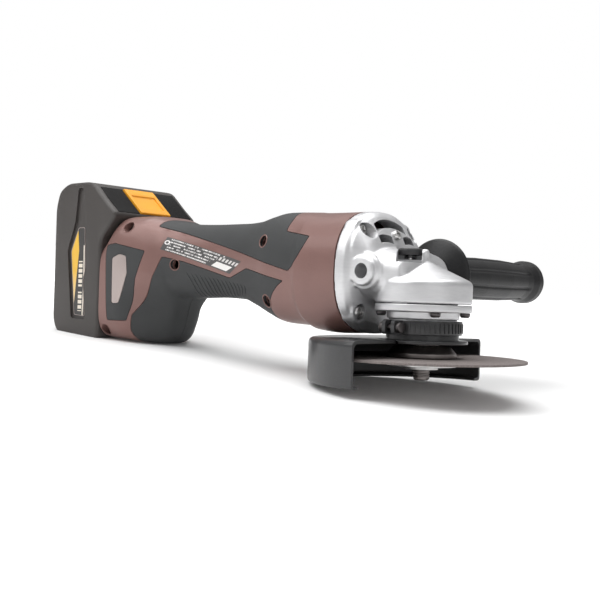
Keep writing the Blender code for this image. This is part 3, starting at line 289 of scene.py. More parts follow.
def makeLabel():
    # dark strip with short white marks that stand for print, and a blank white field at one end
    made = Finish("label", (0.07, 0.07, 0.072), 0.45)
    place = made.node("ShaderNodeTexCoord", output="UV")
    along, up = place.part("X"), place.part("Y")
    rows = (up * 5.0).fraction()
    row = (up * 5.0) - rows
    inRow = rows.over(0.3) * rows.under(0.76)
    stops = made.node("ShaderNodeCombineXYZ", inputs={0: along * 150.0, 1: row * 7.3, 2: 0.0})
    dashes = made.node("ShaderNodeTexNoise", inputs={"Vector": stops, "Scale": 1.0, "Detail": 1.0}).over(0.47)
    spread = made.node("ShaderNodeCombineXYZ", inputs={0: along * 16.0, 1: row * 5.1, 2: 3.0})
    groups = made.node("ShaderNodeTexNoise", inputs={"Vector": spread, "Scale": 1.0}).over(0.4)
    lineEnd = along.under(0.62 + row * 0.04) * along.over(0.06)
    printed = inRow * dashes * groups * lineEnd
    lean = along - up * 0.075
    field = lean.over(0.7) * lean.under(0.93) * up.under(0.46) * up.over(0.08)
    bars = (along * 21.0).fraction().over(0.42)
    marks = lean.over(0.66) * lean.under(0.95) * up.over(0.58) * up.under(0.82) * bars
    fromRing = made.node("ShaderNodeCombineXYZ", inputs={0: (along - 0.035) * 5.6, 1: up - 0.62, 2: 0.0})
    ring = made.node("ShaderNodeVectorMath", {"operation": "LENGTH"}, {0: fromRing}, "Value")
    badge = ring.under(0.17) * ring.over(0.09)
    pale = printed.most(field).most(marks * 0.8).most(badge)
    made.colour(made.blend((0.075, 0.072, 0.072), (0.82, 0.8, 0.78), pale))
    made.bump(made.noise(2500, 2), 0.00003, 0.6)
    return made.material


def makeDecal():
    # black strip with a yellow band along one edge, a thin pale line and blocks that stand for print
    made = Finish("decal", (0.03, 0.028, 0.027), 0.35)
    place = made.node("ShaderNodeTexCoord", output="UV")
    along, up = place.part("X"), place.part("Y")
    band = along.under(0.52 - (0.74 - up).size() * 0.42) * up.under(0.985)
    low = ((0.5 - up) * 2.4 + made.noise(60, 2) * 0.1).clamped()
    yellow = made.blend((0.78, 0.46, 0.045), (0.84, 0.66, 0.4), low)
    line = (along - 0.9 + (up - 0.4).size() * 0.1).size().under(0.035) * up.under(0.8)
    steps = (up * 17.0).fraction().over(0.3)
    column = (along - 0.66).size().under(0.13)
    blocks = steps * column * up.under(0.62) * (up - 0.3).size().over(0.03) * up.over(0.05)
    black = made.blend((0.024, 0.022, 0.021), (0.045, 0.042, 0.04), made.noise(900, 2))
    made.colour(made.blend(made.blend(black, (0.75, 0.68, 0.58), (blocks + line).clamped()), yellow, band))
    made.bump(made.noise(2200, 2), 0.00002, 0.5)
    return made.material


brown = makeMoulded("brownShell", (0.17, 0.088, 0.076), (0.26, 0.145, 0.128), 0.4,
                    Metallic=0.25, Coat_Weight=0.12)
grip = makeGripRubber()
# glossy black plastic, made near-black with weak reflections as painted shade for the plates beside the latch
glossBlackPaintedShade = makeMoulded("glossBlackPaintedShade", (0.004, 0.004, 0.004), (0.009, 0.008, 0.008), 0.24, 0.00002,
                         Specular_IOR_Level=0.15)
aluminium = makeCastAluminium()
blackPlastic = makeMoulded("blackPlastic", (0.02, 0.02, 0.021), (0.045, 0.045, 0.047), 0.42)
handleRubber = makeMoulded("handleRubber", (0.009, 0.009, 0.0095), (0.019, 0.019, 0.02), 0.38, 0.0001, 0.0003,
                           900, Specular_IOR_Level=0.3)
batteryBlack = makeMoulded("batteryBlack", (0.032, 0.028, 0.026), (0.062, 0.054, 0.05), 0.46, 0.00008)
latchOrange = makeMoulded("latchOrange", (0.86, 0.34, 0.012), (0.98, 0.47, 0.03), 0.34)
badgeSilver = makeMoulded("badgeSilver", (0.36, 0.3, 0.28), (0.5, 0.43, 0.41), 0.34, 0.00003, 0.0002,
                          Metallic=0.5)
guardPaint = makeGuardPaint()
abrasive = makeAbrasive()
steel = makeMachined("brightSteel", (0.66, 0.65, 0.64))
wornSteel = makeMachined("wornSteel", (0.34, 0.31, 0.3), 0.36)
darkSteel = makeMachined("darkSteel", (0.12, 0.11, 0.11), 0.34)
brass = makeMachined("bronze", (0.62, 0.43, 0.2), 0.3)
copper = makeCopper()
board = makeBoard()
cellBlue = makeMoulded("cellWrap", (0.06, 0.12, 0.3), (0.1, 0.2, 0.45), 0.35, 0.00003)
labelPrint = makeLabel()
decalPrint = makeDecal()
print("finishes:", len(bpy.data.materials))


# shapes, in millimetres until a piece is finished

sides = ((-1, "right"), (1, "left"))

def turnedMesh(profile, steps=72, ring=False, start=0.0, angle=360.0):
    # a profile of (radius, height) points turned about Z; ring closes the profile on itself
    bm = bmesh.new()
    whole = angle > 359.9
    count = steps if whole else steps + 1
    turns = [math.radians(start + angle * i / steps) for i in range(count)]
    rows = []
    for radius, height in profile:
        if radius < 1e-6:
            rows.append([bm.verts.new((0, 0, height))] * count)
        else:
            rows.append([bm.verts.new((radius * math.cos(a), radius * math.sin(a), height)) for a in turns])
    pairs = list(zip(rows, rows[1:])) + ([(rows[-1], rows[0])] if ring else [])
    for here, there in pairs:
        for i in range(steps):
            j = (i + 1) % count
            corners = []
            for v in (here[i], here[j], there[j], there[i]):
                if v not in corners:
                    corners.append(v)
            if len(corners) > 2:
                bm.faces.new(corners)
    if not whole:
        bm.faces.new([row[0] for row in rows])
        bm.faces.new([row[-1] for row in rows])
    return bm


def loftMesh(rings):
    bm = bmesh.new()
    rows = [[bm.verts.new(point) for point in ring] for ring in rings]
    for here, there in zip(rows, rows[1:]):
        for i in range(len(here)):
            j = (i + 1) % len(here)
            bm.faces.new((here[i], here[j], there[j], there[i]))
    bm.faces.new(rows[0])
    bm.faces.new(rows[-1])
    return bm


def slabMesh(outline, low, high):
    # an (x, z) outline given a thickness along Y
    return loftMesh([[(x, y, z) for x, z in outline] for y in (low, high)])


def boxMesh(low, high):
    side = [(low[0], low[2]), (high[0], low[2]), (high[0], high[2]), (low[0], high[2])]
    return slabMesh(side, low[1], high[1])


def placed(bm, place=(0, 0, 0), axis="Z"):
    turns = {"Z": Matrix.Identity(3), "X": Matrix.Rotation(math.pi / 2, 3, "Y"),
             "Y": Matrix.Rotation(-math.pi / 2, 3, "X"), "-Y": Matrix.Rotation(math.pi / 2, 3, "X")}
    bmesh.ops.transform(bm, matrix=turns[axis].to_4x4(), verts=bm.verts)
    bmesh.ops.translate(bm, verts=bm.verts, vec=Vector(place))
    return bm


def turnedBy(bm, degrees, axis="Z", centre=(0, 0, 0)):
    bmesh.ops.rotate(bm, verts=bm.verts, cent=centre, matrix=Matrix.Rotation(math.radians(degrees), 3, axis))
    return bm


def rodMesh(radius, low, high, place=(0, 0, 0), axis="Z", steps=40):
    return placed(turnedMesh([(0, low), (radius, low), (radius, high), (0, high)], steps), place, axis)


def together(*meshes):
    # several meshes in one, not joined to each other
    whole = meshes[0]
    for bm in meshes[1:]:
        part = bpy.data.meshes.new("part")
        bm.to_mesh(part)
        bm.free()
        whole.from_mesh(part)
        bpy.data.meshes.remove(part)
    return whole


def rounded(points, radius, closed=True, steps=3):
    # an outline or profile with its corners rounded
    out = []
    for i, here in enumerate(points):
        corner = Vector(here)
        if not closed and i in (0, len(points) - 1):
            out.append(tuple(corner))
            continue
        back, ahead = Vector(points[i - 1]) - corner, Vector(points[(i + 1) % len(points)]) - corner
        reach = min(radius, back.length * 0.45, ahead.length * 0.45)
        a, b = corner + back.normalized() * reach, corner + ahead.normalized() * reach
        for k in range(steps + 1):
            t = k / steps
            out.append(tuple(a * (1 - t) ** 2 + corner * 2 * t * (1 - t) + b * t * t))
    return out


def grown(outline, amount):
    # an outline whose sides are each moved outwards
    area = sum(a[0] * b[1] - b[0] * a[1] for a, b in zip(outline, outline[1:] + outline[:1]))
    sign = 1.0 if area > 0 else -1.0
    out = []
    for i, here in enumerate(outline):
        before = Vector(here) - Vector(outline[i - 1])
        after = Vector(outline[(i + 1) % len(outline)]) - Vector(here)
        normals = [Vector((side.y, -side.x)).normalized() * sign for side in (before, after)]
        middle = (normals[0] + normals[1]).normalized()
        out.append(tuple(Vector(here) + middle * amount / max(0.4, middle.dot(normals[0]))))
    return out


def scratch(bm):
    bmesh.ops.remove_doubles(bm, verts=bm.verts, dist=1e-5)
    bmesh.ops.recalc_face_normals(bm, faces=bm.faces)
    mesh = bpy.data.meshes.new("scratch")
    bm.to_mesh(mesh)
    bm.free()
    thing = bpy.data.objects.new("scratch", mesh)
    bpy.context.scene.collection.objects.link(thing)
    return thing


def settled(thing):
    # the object with its modifiers made into its mesh
    graph = bpy.context.evaluated_depsgraph_get()
    mesh = bpy.data.meshes.new_from_object(thing.evaluated_get(graph), depsgraph=graph)
    thing.modifiers.clear()
    thing.data = mesh
    return thing


def combined(thing, operation, tool, keep=False):
    if isinstance(tool, bmesh.types.BMesh):
        tool = scratch(tool)
    step = thing.modifiers.new("boolean", "BOOLEAN")
    step.operation = operation
    step.object = tool
    settled(thing)
    if not keep:
        bpy.data.objects.remove(tool)
    return thing


def fused(bm, voxel, smoothing):
    # overlapping solids melted into one casting with filleted joins
    thing = scratch(bm)
    remesh = thing.modifiers.new("remesh", "REMESH")
    remesh.mode = "VOXEL"
    remesh.voxel_size = voxel
    smooth = thing.modifiers.new("smooth", "SMOOTH")
    smooth.factor = 0.5
    smooth.iterations = smoothing
    return settled(thing)


def finished(name, shape, material, body, nodes=(), sharp=34):
    # a shape in millimetres becomes a piece in metres that rides on a body
    thing = scratch(shape) if isinstance(shape, bmesh.types.BMesh) else shape
    thing.name = thing.data.name = name
    thing.data.transform(Matrix.Scale(mm, 4))
    thing.data.materials.clear()
    thing.data.materials.append(material)
    thing.data.shade_smooth()
    thing.data.set_sharp_from_angle(angle=math.radians(sharp))
    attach(thing, body)
    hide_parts(*nodes)
    return thing


# geometry trees

class Tree(Graph):
    def __init__(self, name, sizes):
        # sizes: the named inputs with their values
        self.group = bpy.data.node_groups.new(name, "GeometryNodeTree")
        super().__init__(self.group)
        face = self.group.interface
        face.new_socket("Geometry", in_out="INPUT", socket_type="NodeSocketGeometry")
        face.new_socket("Geometry", in_out="OUTPUT", socket_type="NodeSocketGeometry")
        for size, value in sizes.items():
            kind = "NodeSocketInt" if isinstance(value, int) else "NodeSocketFloat"
            face.new_socket(size, in_out="INPUT", socket_type=kind).default_value = value
        self.entry = self.group.nodes.new("NodeGroupInput")
        self.exit = self.group.nodes.new("NodeGroupOutput")

    def size(self, name):
        return Value(self, self.entry.outputs[name])

    def incoming(self):
        return Value(self, self.entry.outputs["Geometry"])

    def finish(self, geometry, material):
        real = self.node("GeometryNodeRealizeInstances", inputs={0: geometry})
        made = self.node("GeometryNodeSetMaterial", inputs={"Geometry": real, "Material": material})
        self.tree.links.new(made.socket, self.exit.inputs[0])
        return self.group


def grownFrom(thing, tree, sizes):
    # runs a geometry tree on an object and keeps the result as its mesh
    step = thing.modifiers.new("geometry", "NODES")
    step.node_group = tree
    for item in tree.interface.items_tree:
        if item.in_out == "INPUT" and item.name in sizes:
            step[item.identifier] = sizes[item.name]
    graph = bpy.context.evaluated_depsgraph_get()
    mesh = bpy.data.meshes.new_from_object(thing.evaluated_get(graph), depsgraph=graph)
    made = bpy.data.objects.new("grown", mesh)
    bpy.context.scene.collection.objects.link(made)
    bpy.data.objects.remove(thing)
    return made


def stripTree(material):
    # round-section strips along every line of a mesh
    tree = Tree("strips", {"Radius": 0.5, "Sides": 8})
    line = tree.node("GeometryNodeMeshToCurve", inputs={0: tree.incoming()})
    ring = tree.node("GeometryNodeCurvePrimitiveCircle",
                     inputs={"Resolution": tree.size("Sides"), "Radius": tree.size("Radius")})
    solid = tree.node("GeometryNodeCurveToMesh",
                      inputs={"Curve": line, "Profile Curve": ring, "Fill Caps": True})
    return tree.finish(solid, material)


def linesMesh(paths, closed=False):
    bm = bmesh.new()
    for path in paths:
        verts = [bm.verts.new(p) for p in path]
        for a, b in zip(verts, verts[1:] + (verts[:1] if closed else [])):
            bm.edges.new((a, b))
    mesh = bpy.data.meshes.new("lines")
    bm.to_mesh(mesh)
    bm.free()
    thing = bpy.data.objects.new("lines", mesh)
    bpy.context.scene.collection.objects.link(thing)
    return thing


def scatterTree(part, material, spun=False):
    # copies of a part on a mesh's points: its Z along each point's aim or, spun, turned about Z
    tree = Tree("scatter", {"Size": 1.0})
    model = tree.node("GeometryNodeObjectInfo", {"transform_space": "ORIGINAL"}, {"Object": part}, "Geometry")
    if spun:
        turn = tree.node("GeometryNodeInputNamedAttribute", {"data_type": "FLOAT"}, {"Name": "turn"})
        rotation = tree.node("ShaderNodeCombineXYZ", inputs={"Z": turn})
    else:
        aim = tree.node("GeometryNodeInputNamedAttribute", {"data_type": "FLOAT_VECTOR"}, {"Name": "aim"})
        rotation = tree.node("FunctionNodeAlignRotationToVector", {"axis": "Z"}, {"Vector": aim})
    points = tree.node("GeometryNodeInstanceOnPoints", inputs={
        "Points": tree.incoming(), "Instance": model, "Rotation": rotation, "Scale": tree.size("Size")})
    return tree.finish(points, material)


def pointsMesh(places):
    # places: pairs of a point and the direction that it faces
    mesh = bpy.data.meshes.new("points")
    mesh.from_pydata([p for p, _ in places], [], [])
    aim = mesh.attributes.new("aim", "FLOAT_VECTOR", "POINT")
    for i, (_, direction) in enumerate(places):
        aim.data[i].vector = Vector(direction)
    thing = bpy.data.objects.new("points", mesh)
    bpy.context.scene.collection.objects.link(thing)
    return thing


# housing: the form that its shells, grips, panels and label all follow

housing = {
    "front": -37.4, "rear": -242.0, "wall": 3.4, "backWall": 10.0, "steps": 44, "seam": 0.15, "past": (-30, -250),
    "coarseStep": 2.3, "fineStep": 1.0, "fineSpans": [(-206, -184), (-73, -64)],
    # x, low edge, high edge, half width, roundness and keel of each section
    "sections": [
        (-242, 11.1, 79, 37.3, 5.0, 0), (-225.5, 10.1, 96.2, 37.0, 4.5, 0), (-210, 8.8, 96.4, 33.7, 3.8, 0.2),
        (-203, 10.6, 95.0, 31.5, 3.4, 0.34), (-197, 16.0, 93.4, 29.0, 3.2, 0.42),
        (-193.5, 24.0, 92.5, 27.5, 3.1, 0.45), (-191, 33.0, 92.0, 26.5, 3.0, 0.4),
        (-188, 40.0, 91.6, 25.5, 2.9, 0.25), (-178, 41.0, 90.5, 23.0, 2.8, 0), (-152, 41.9, 89.9, 21.5, 2.6, 0),
        (-131, 41.1, 89.9, 22.7, 2.6, 0), (-116, 36.4, 91.0, 25.0, 2.5, 0), (-103, 31.2, 93.9, 28.0, 2.5, 0),
        (-92, 27.8, 95.6, 30.8, 2.5, 0), (-71, 26.6, 95.0, 32.4, 2.4, 0), (-67, 24.6, 94.6, 33.5, 2.4, 0),
        (-54, 23.6, 94.3, 33.7, 2.4, 0), (-37, 24.2, 94.2, 34.0, 2.4, 0)],
    "bellyTop": 54.0, "bellyShoulder": 22.0,
    "screws": [(-97.0, 76.6), (-94.3, 40.9), (-218.5, 87.5), (-180.5, 62.7), (-237.2, 17.6)],
    "wellRadius": 3.4, "screwDepth": 7.0, "headLift": 0.3, "wellTop": 48,
    # inlays: how deep they lie, the gap round them and the radius of their corners
    "gripDepth": 1.8, "gap": 0.35, "corner": 1.2, "reach": 44.0,
    "upperGrip": [(-199, 92), (-199, 88.0), (-175, 83.0), (-122, 70.5), (-73, 58.6), (-69.4, 61.4),
                  (-65.4, 66.6), (-61.6, 73.0), (-59, 79.0), (-79, 82.3), (-79, 89), (-84, 99), (-196, 99)],
    "lowerGrip": [(-190.5, 68.0), (-174, 65.0), (-131, 54.6), (-113, 60.5), (-77, 53.0), (-81.6, 50.4),
                  (-86.6, 46.0), (-90.6, 41.0), (-92.6, 36.0), (-94, 20), (-176, 4), (-216, 4), (-217, 17.5),
                  (-215, 28.5), (-199.5, 48.4)],
    "panel": [(-236.4, 75.4), (-226.6, 76.7), (-202.5, 71.6), (-218, 24.1), (-233.7, 24.0)],
    "badge": [(-228.8, 66.5), (-222, 69.2), (-216.5, 67.8), (-215.4, 56.3), (-222.4, 36), (-228.1, 35.8)],
    "badgeThick": 0.8, "badgeSocket": 0.9, "badgeGap": 0.25, "badgeTrim": -0.05,
    # the slider's opening: from and to along X, from and to along Z
    "slot": (-92.0, -77.0, 58.7, 65.3), "slotGap": 0.3, "slotDepth": 20,
    # the pack's T slot: half widths of neck and head, depths of neck and head, low end
    "rail": (18.3, 24.3, 2.7, 6.7, 23.7), "railTop": 120,
}


def bentThrough(column):
    # a smooth curve through one column of the sections, which never overshoots them
    rows = [(row[0], row[column]) for row in housing["sections"]]
    rises = [(b[1] - a[1]) / (b[0] - a[0]) for a, b in zip(rows, rows[1:])]
    inner = [0.0 if a * b <= 0 else 2 * a * b / (a + b) for a, b in zip(rises, rises[1:])]
    slopes = [rises[0], *inner, rises[-1]]

    def at(x):
        x = min(max(x, rows[0][0]), rows[-1][0])
        k = next(i for i in range(len(rows) - 1) if x <= rows[i + 1][0])
        run = rows[k + 1][0] - rows[k][0]
        t = (x - rows[k][0]) / run
        return ((2 * t ** 3 - 3 * t ** 2 + 1) * rows[k][1] + (t ** 3 - 2 * t ** 2 + t) * run * slopes[k]
                + (3 * t ** 2 - 2 * t ** 3) * rows[k + 1][1] + (t ** 3 - t ** 2) * run * slopes[k + 1])
    return at


lowEdge, highEdge, halfWidth, roundness, keelAt = (bentThrough(column) for column in range(1, 6))


def sectionAt(x, inset):
    near = (x - inset, x, x + inset) if inset else (x,)
    return (max(lowEdge(v) for v in near) + inset, min(highEdge(v) for v in near) - inset,
            min(halfWidth(v) for v in near) - inset, roundness(x), max(keelAt(v) for v in near))


def keelFactor(z, keel):
    t = min(1.0, max(0.0, (housing["bellyTop"] - z) / housing["bellyShoulder"]))
    return 1.0 - keel * t * t * (3 - 2 * t)


def surfaceY(x, z, inset=0.0):
    # how far the housing's surface stands from the centre plane
    low, high, half, power, keel = sectionAt(x, inset)
    rise = min(1.0, abs(z - (low + high) / 2) / ((high - low) / 2))
    return half * (1 - rise ** power) ** (1 / power) * keelFactor(z, keel)


def onSurface(x, z, side, lift=0.0):
    return Vector((x, side * (surfaceY(x, z) + lift), z))


def halfRing(x, side, inset, seam):
    low, high, half, power, keel = sectionAt(x, inset)
    steps, ring = housing["steps"], []
    for i in range(steps + 1):
        angle = math.pi * (i / steps - 0.5)
        rise = abs(math.sin(angle)) ** (0.5 + 1 / power)
        z = (low + high) / 2 + (high - low) / 2 * math.copysign(rise, angle)
        y = half * max(0.0, 1 - rise ** power) ** (1 / power) * keelFactor(z, keel)
        ring.append(Vector((x, side * max(y, seam), z)))
    ring[0].y = ring[-1].y = side * seam
    return ring


def halfForm(side, inset=0.0, front=None, rear=None, seam=None):
    # one half of the housing's form as a filled solid
    front = housing["front"] if front is None else front
    rear = housing["rear"] if rear is None else rear
    seam = housing["seam"] if seam is None else seam
    stations, x = [front], front
    while x > rear + 0.8:
        fine = any(start < x < stop for start, stop in housing["fineSpans"])
        x -= housing["fineStep"] if fine else housing["coarseStep"]
        stations.append(max(x, rear))
    return loftMesh([halfRing(v, side, inset, seam) for v in stations])


def coreForm(side, inset, rear=None):
    # what lies deeper than the inset, run past the ends of the shell and up to the centre plane
    front, beyond = housing["past"]
    return halfForm(side, inset, front, beyond if rear is None else rear, 0.0)


def region(outline, side, growth=0.0):
    low, high = sorted((side * 0.1, side * housing["reach"]))
    return slabMesh(rounded(grown(outline, growth), housing["corner"]), low, high)


def wellTools(side, radius):
    # cylinders for the screw wells of one side
    tools = []
    for x, z in housing["screws"]:
        seat = surfaceY(x, z) - housing["screwDepth"] + housing["headLift"]
        tools.append(rodMesh(radius, seat, housing["wellTop"], (x, 0, z), "Y" if side > 0 else "-Y", 28))
    return together(*tools)


def inlaid(outlines, side, deep):
    # plates let into the housing, flush with its surface
    plates = scratch(together(*[region(o, side, -housing["gap"]) for o in outlines]))
    combined(plates, "INTERSECT", halfForm(side))
    combined(plates, "DIFFERENCE", deep, keep=True)
    return combined(plates, "DIFFERENCE", wellTools(side, housing["wellRadius"] + 0.3))


def railTools():
    # neck and head of the T slot that the pack slides in
    neck, head, neckDepth, headDepth, low = housing["rail"]
    back, top = housing["rear"], housing["railTop"]
    return (boxMesh((back - 1, -neck, low), (back + neckDepth + 0.2, neck, top)),
            boxMesh((back + neckDepth, -head, low), (back + headDepth, head, top)))


def slotTool(gap=0.0):
    x0, x1, z0, z1 = housing["slot"]
    return boxMesh((x0 - gap, housing["slotDepth"], z0 - gap), (x1 + gap, housing["reach"], z1 + gap))


def makeHousing():
    s = housing
    for side, word in sides:
        deep = scratch(coreForm(side, s["gripDepth"]))
        outlines = [s[k] for k in ("upperGrip", "lowerGrip", "panel")]
        inlays, panels = inlaid(outlines[:2], side, deep), inlaid(outlines[2:], side, deep)
        recess = combined(scratch(together(*[region(o, side) for o in outlines])), "DIFFERENCE", deep)
        shell = scratch(halfForm(side))
        for tool in (coreForm(side, s["wall"], s["rear"] + s["backWall"]), recess,
                     wellTools(side, s["wellRadius"]), *railTools()):
            combined(shell, "DIFFERENCE", tool)
        if side > 0:
            combined(shell, "DIFFERENCE", slotTool())
            combined(inlays, "DIFFERENCE", slotTool(s["slotGap"]))
        socket = combined(scratch(region(s["badge"], side, s["badgeGap"])), "DIFFERENCE",
                          coreForm(side, s["badgeSocket"]))
        combined(panels, "DIFFERENCE", socket)
        plate = combined(scratch(halfForm(side)), "DIFFERENCE", coreForm(side, s["badgeThick"]))
        combined(plate, "INTERSECT", region(s["badge"], side, s["badgeTrim"]))
        finished("shell_" + word, shell, brown, "tool", ["housing_" + word])
        finished("grips_" + word, inlays, grip, "tool",
                 ["grip_upper_" + word, "grip_lower_" + word])
        finished("foot_insert_" + word, panels, grip, "tool", ["foot_panel_" + word])
        finished("foot_plate_" + word, plate, badgeSilver, "tool", ["foot_badge_" + word])


ribs = {"count": 15, "top": [(-171, 57.9), (-116.9, 50.3)], "bottom": [(-167.3, 41.9), (-121.8, 43.6)],
        "bow": 2.4, "radius": 0.62, "lift": -0.12, "dip": 0.5, "lowest": 42.6, "points": 12}


def makeRibs():
    # finger ribs across both sides of the lower grip
    s = ribs
    tree = stripTree(grip)
    for side, word in sides:
        paths = []
        for i in range(s["count"]):
            t = i / (s["count"] - 1)
            top = Vector(s["top"][0]).lerp(Vector(s["top"][1]), t)
            low = Vector(s["bottom"][0]).lerp(Vector(s["bottom"][1]), t)
            path = []
            for k in range(s["points"] + 1):
                u = k / s["points"]
                at = top.lerp(low, u)
                lift = s["lift"] - s["dip"] * (2 * u - 1) ** 6
                x = at.x + s["bow"] * math.sin(math.pi * u)
                path.append(onSurface(x, max(at.y, s["lowest"]), side, lift))
            paths.append(path)
        made = grownFrom(linesMesh(paths), tree, {"Radius": s["radius"], "Sides": 8})
        finished("finger_ribs_" + word, made, grip, "tool", sharp=60)


wellLips = {"gap": 0.35, "wire": 0.38, "lift": -0.1, "points": 32}


def makeWellLips():
    # raised rims round the screw wells
    s = wellLips
    tree = stripTree(brown)
    radius = housing["wellRadius"] + s["gap"]
    turns = [2 * math.pi * i / s["points"] for i in range(s["points"])]
    for side, word in sides:
        paths = [[onSurface(x + radius * math.cos(a), z + radius * math.sin(a), side, s["lift"]) for a in turns]
                 for x, z in housing["screws"]]
        lips = grownFrom(linesMesh(paths, closed=True), tree, {"Radius": s["wire"], "Sides": 8})
        finished("well_lips_" + word, lips, brown, "tool", sharp=60)


def patch(corners, side, lift, columns, rows, thickness=0.3):
    # a thin plate on the housing's side over four (x, z) corners, with its own UV map
    bm = bmesh.new()
    layer = bm.loops.layers.uv.new("UVMap")
    a, b, c, d = (Vector(p) for p in corners)  # low start, low end, high end, high start
    grids = []
    for level in (lift, lift - thickness):
        grid = []
        for j in range(rows + 1):
            line = []
            for i in range(columns + 1):
                u, v = i / columns, j / rows
                at = a.lerp(b, u).lerp(d.lerp(c, u), v)
                line.append((bm.verts.new(onSurface(at.x, at.y, side, level)), (u, v)))
            grid.append(line)
        grids.append(grid)

    def face(*corner):
        made = bm.faces.new([v for v, _ in corner])
        for loop, (_, uv) in zip(made.loops, corner):
            loop[layer].uv = uv

    for grid in grids:
        for j in range(rows):
            for i in range(columns):
                face(grid[j][i], grid[j][i + 1], grid[j + 1][i + 1], grid[j + 1][i])
    top, under = grids
    for i in range(columns):
        for j in (0, rows):
            face(top[j][i], top[j][i + 1], under[j][i + 1], under[j][i])
    for j in range(rows):
        for i in (0, columns):
            face(top[j][i], top[j + 1][i], under[j + 1][i], under[j][i])
    return bm


labelPlate = {"corners": [(-192.0, 72.7), (-130.6, 57.0), (-118.6, 64.6), (-188.2, 81.0)],
              "lift": 0.12, "columns": 48, "rows": 6}


def makeLabelPlates():
    s = labelPlate
    for side, word in sides:
        a, b, c, d = s["corners"]
        corners = [b, a, d, c] if side > 0 else [a, b, c, d]
        plate = patch(corners, side, s["lift"], s["columns"], s["rows"])
        finished("label_" + word, plate, labelPrint, "tool")


makeHousing()
makeRibs()
makeWellLips()
makeLabelPlates()
print("housing done")


# gear case and the plate under it

gearCase = {
    "noseRadius": 26.8, "noseApex": 67.0, "noseSlope": 0.457, "low": 42.4, "back": -37.0,
    # x, low edge, high edge, half width and roundness of each section; None is just above the base
    "sections": [(-37, 24.2, 94.2, 34.0, 2.4), (-30.6, 24.2, 94.2, 33.8, 2.4), (-28.4, 30.0, 92.6, 32.0, 2.4),
                 (-27.0, None, 91.2, 31.2, 2.4), (-24.5, None, 87.6, 30.0, 2.5), (-20.0, None, 80.4, 28.6, 2.6),
                 (-16.5, None, 73.2, 27.6, 2.8), (-9.0, None, 71.4, 26.4, 2.8), (0.0, None, 70.4, 24.5, 2.6),
                 (2.5, None, 66.0, 22.0, 2.4)],
    "lift": 0.6, "points": 72,
    "screws": [(-20.5, 82.0), (20.5, 82.0), (-20.5, 36.5), (20.5, 36.5)],
    "padRadius": 6.6, "padFront": -28.4, "wellRadius": 4.5, "wellFloor": -31.2, "shankRadius": 2.3,
    "handle": (-20.4, 59.2), "bossRadius": 8.0, "bossFace": 31.0, "bossRoot": 15, "bossWider": 2.2,
    "bossShorter": 2.6, "studBore": (4.3, 14.6, 36),
    # shoulders that run from the flange down to the nose
    "shoulder": [(-30, 85), (-27, 85.5), (-19.5, 72.0), (-12, 64.0), (-2, 59.0), (-2, 56), (-30, 56)],
    "shoulderAt": (-18.5, 18.5), "shoulderHalf": 4.0,
    # the lock button's seat (radius, low, high), the lug on the nose, and the finger notch before the button
    "lock": -9.6, "lockSeat": (11.4, 60, 70.9), "pocketFloor": 66.7, "pocketRadius": 8.0, "pinBore": 1.7,
    "lug": ((-2.2, -2.0, 62), (2.2, 2.0, 72.6)), "lugTurn": 20,
    "notchHalf": 6.8, "notchReach": (2, 30), "notchDrop": 2.1, "notchTurn": -58,
    # hollows: the gears' room (radius, height) and the front bearing's seat (radius, x)
    "room": [(19.5, 54.8), (17, 56.6), (12, 59), (7.3, 59), (7.3, 62.8), (0, 62.8)],
    "bearingSeat": [(11.3, -24), (6.6, -24), (6.6, -11.7), (0, -11.7)], "motorZ": 59.0,
    # low and high edge, ends along Y, drop at the ends
    "vents": [(84.6, 89.6, -15.2, 12.0, 3.4), (76.0, 80.4, -16.0, -4.5, 1.0), (76.0, 80.4, 6.0, 16.0, 1.0)],
    "ventReach": (-39.0, -12.0), "voxel": 0.75, "smoothing": 7,
}


def caseForm():
    s = gearCase
    rings = []
    for x, bottom, top, half, power in s["sections"]:
        bottom = s["low"] + s["lift"] if bottom is None else bottom
        middle, rise = (bottom + top) / 2, (top - bottom) / 2
        ring = []
        for i in range(s["points"]):
            a = 2 * math.pi * i / s["points"]
            y = half * math.copysign(abs(math.cos(a)) ** (2 / power), math.cos(a))
            z = middle + rise * math.copysign(abs(math.sin(a)) ** (2 / power), math.sin(a))
            ring.append((x, y, z))
        rings.append(ring)
    return loftMesh(rings)


def casting():
    # nose, flange, screw pads, handle bosses, shoulders and lock seat, melted together
    s = gearCase
    low, radius, apex, slope = s["low"], s["noseRadius"], s["noseApex"], s["noseSlope"]
    edge = apex - slope * radius
    nose = turnedMesh([(0, low), (radius, low), (radius, edge - 1.2), (radius - 1.4, edge + 0.5),
                       (2, apex - slope * 2), (0, apex)], 96)
    parts = [caseForm(), nose]
    parts += [rodMesh(s["padRadius"], s["back"] + 0.2, s["padFront"], (0, y, z), "X") for y, z in s["screws"]]
    x, z = s["handle"]
    for axis in ("Y", "-Y"):
        for wider, face in ((0, s["bossFace"] + 0.3), (s["bossWider"], s["bossFace"] - s["bossShorter"])):
            parts.append(rodMesh(s["bossRadius"] + wider, s["bossRoot"], face, (x, 0, z), axis))
    half = s["shoulderHalf"]
    parts += [placed(slabMesh(s["shoulder"], -half, half), (0, y, 0)) for y in s["shoulderAt"]]
    parts.append(rodMesh(*s["lockSeat"], (s["lock"], 0, 0)))
    parts.append(turnedBy(boxMesh(*s["lug"]), s["lugTurn"]))
    return fused(together(*parts), s["voxel"], s["smoothing"])


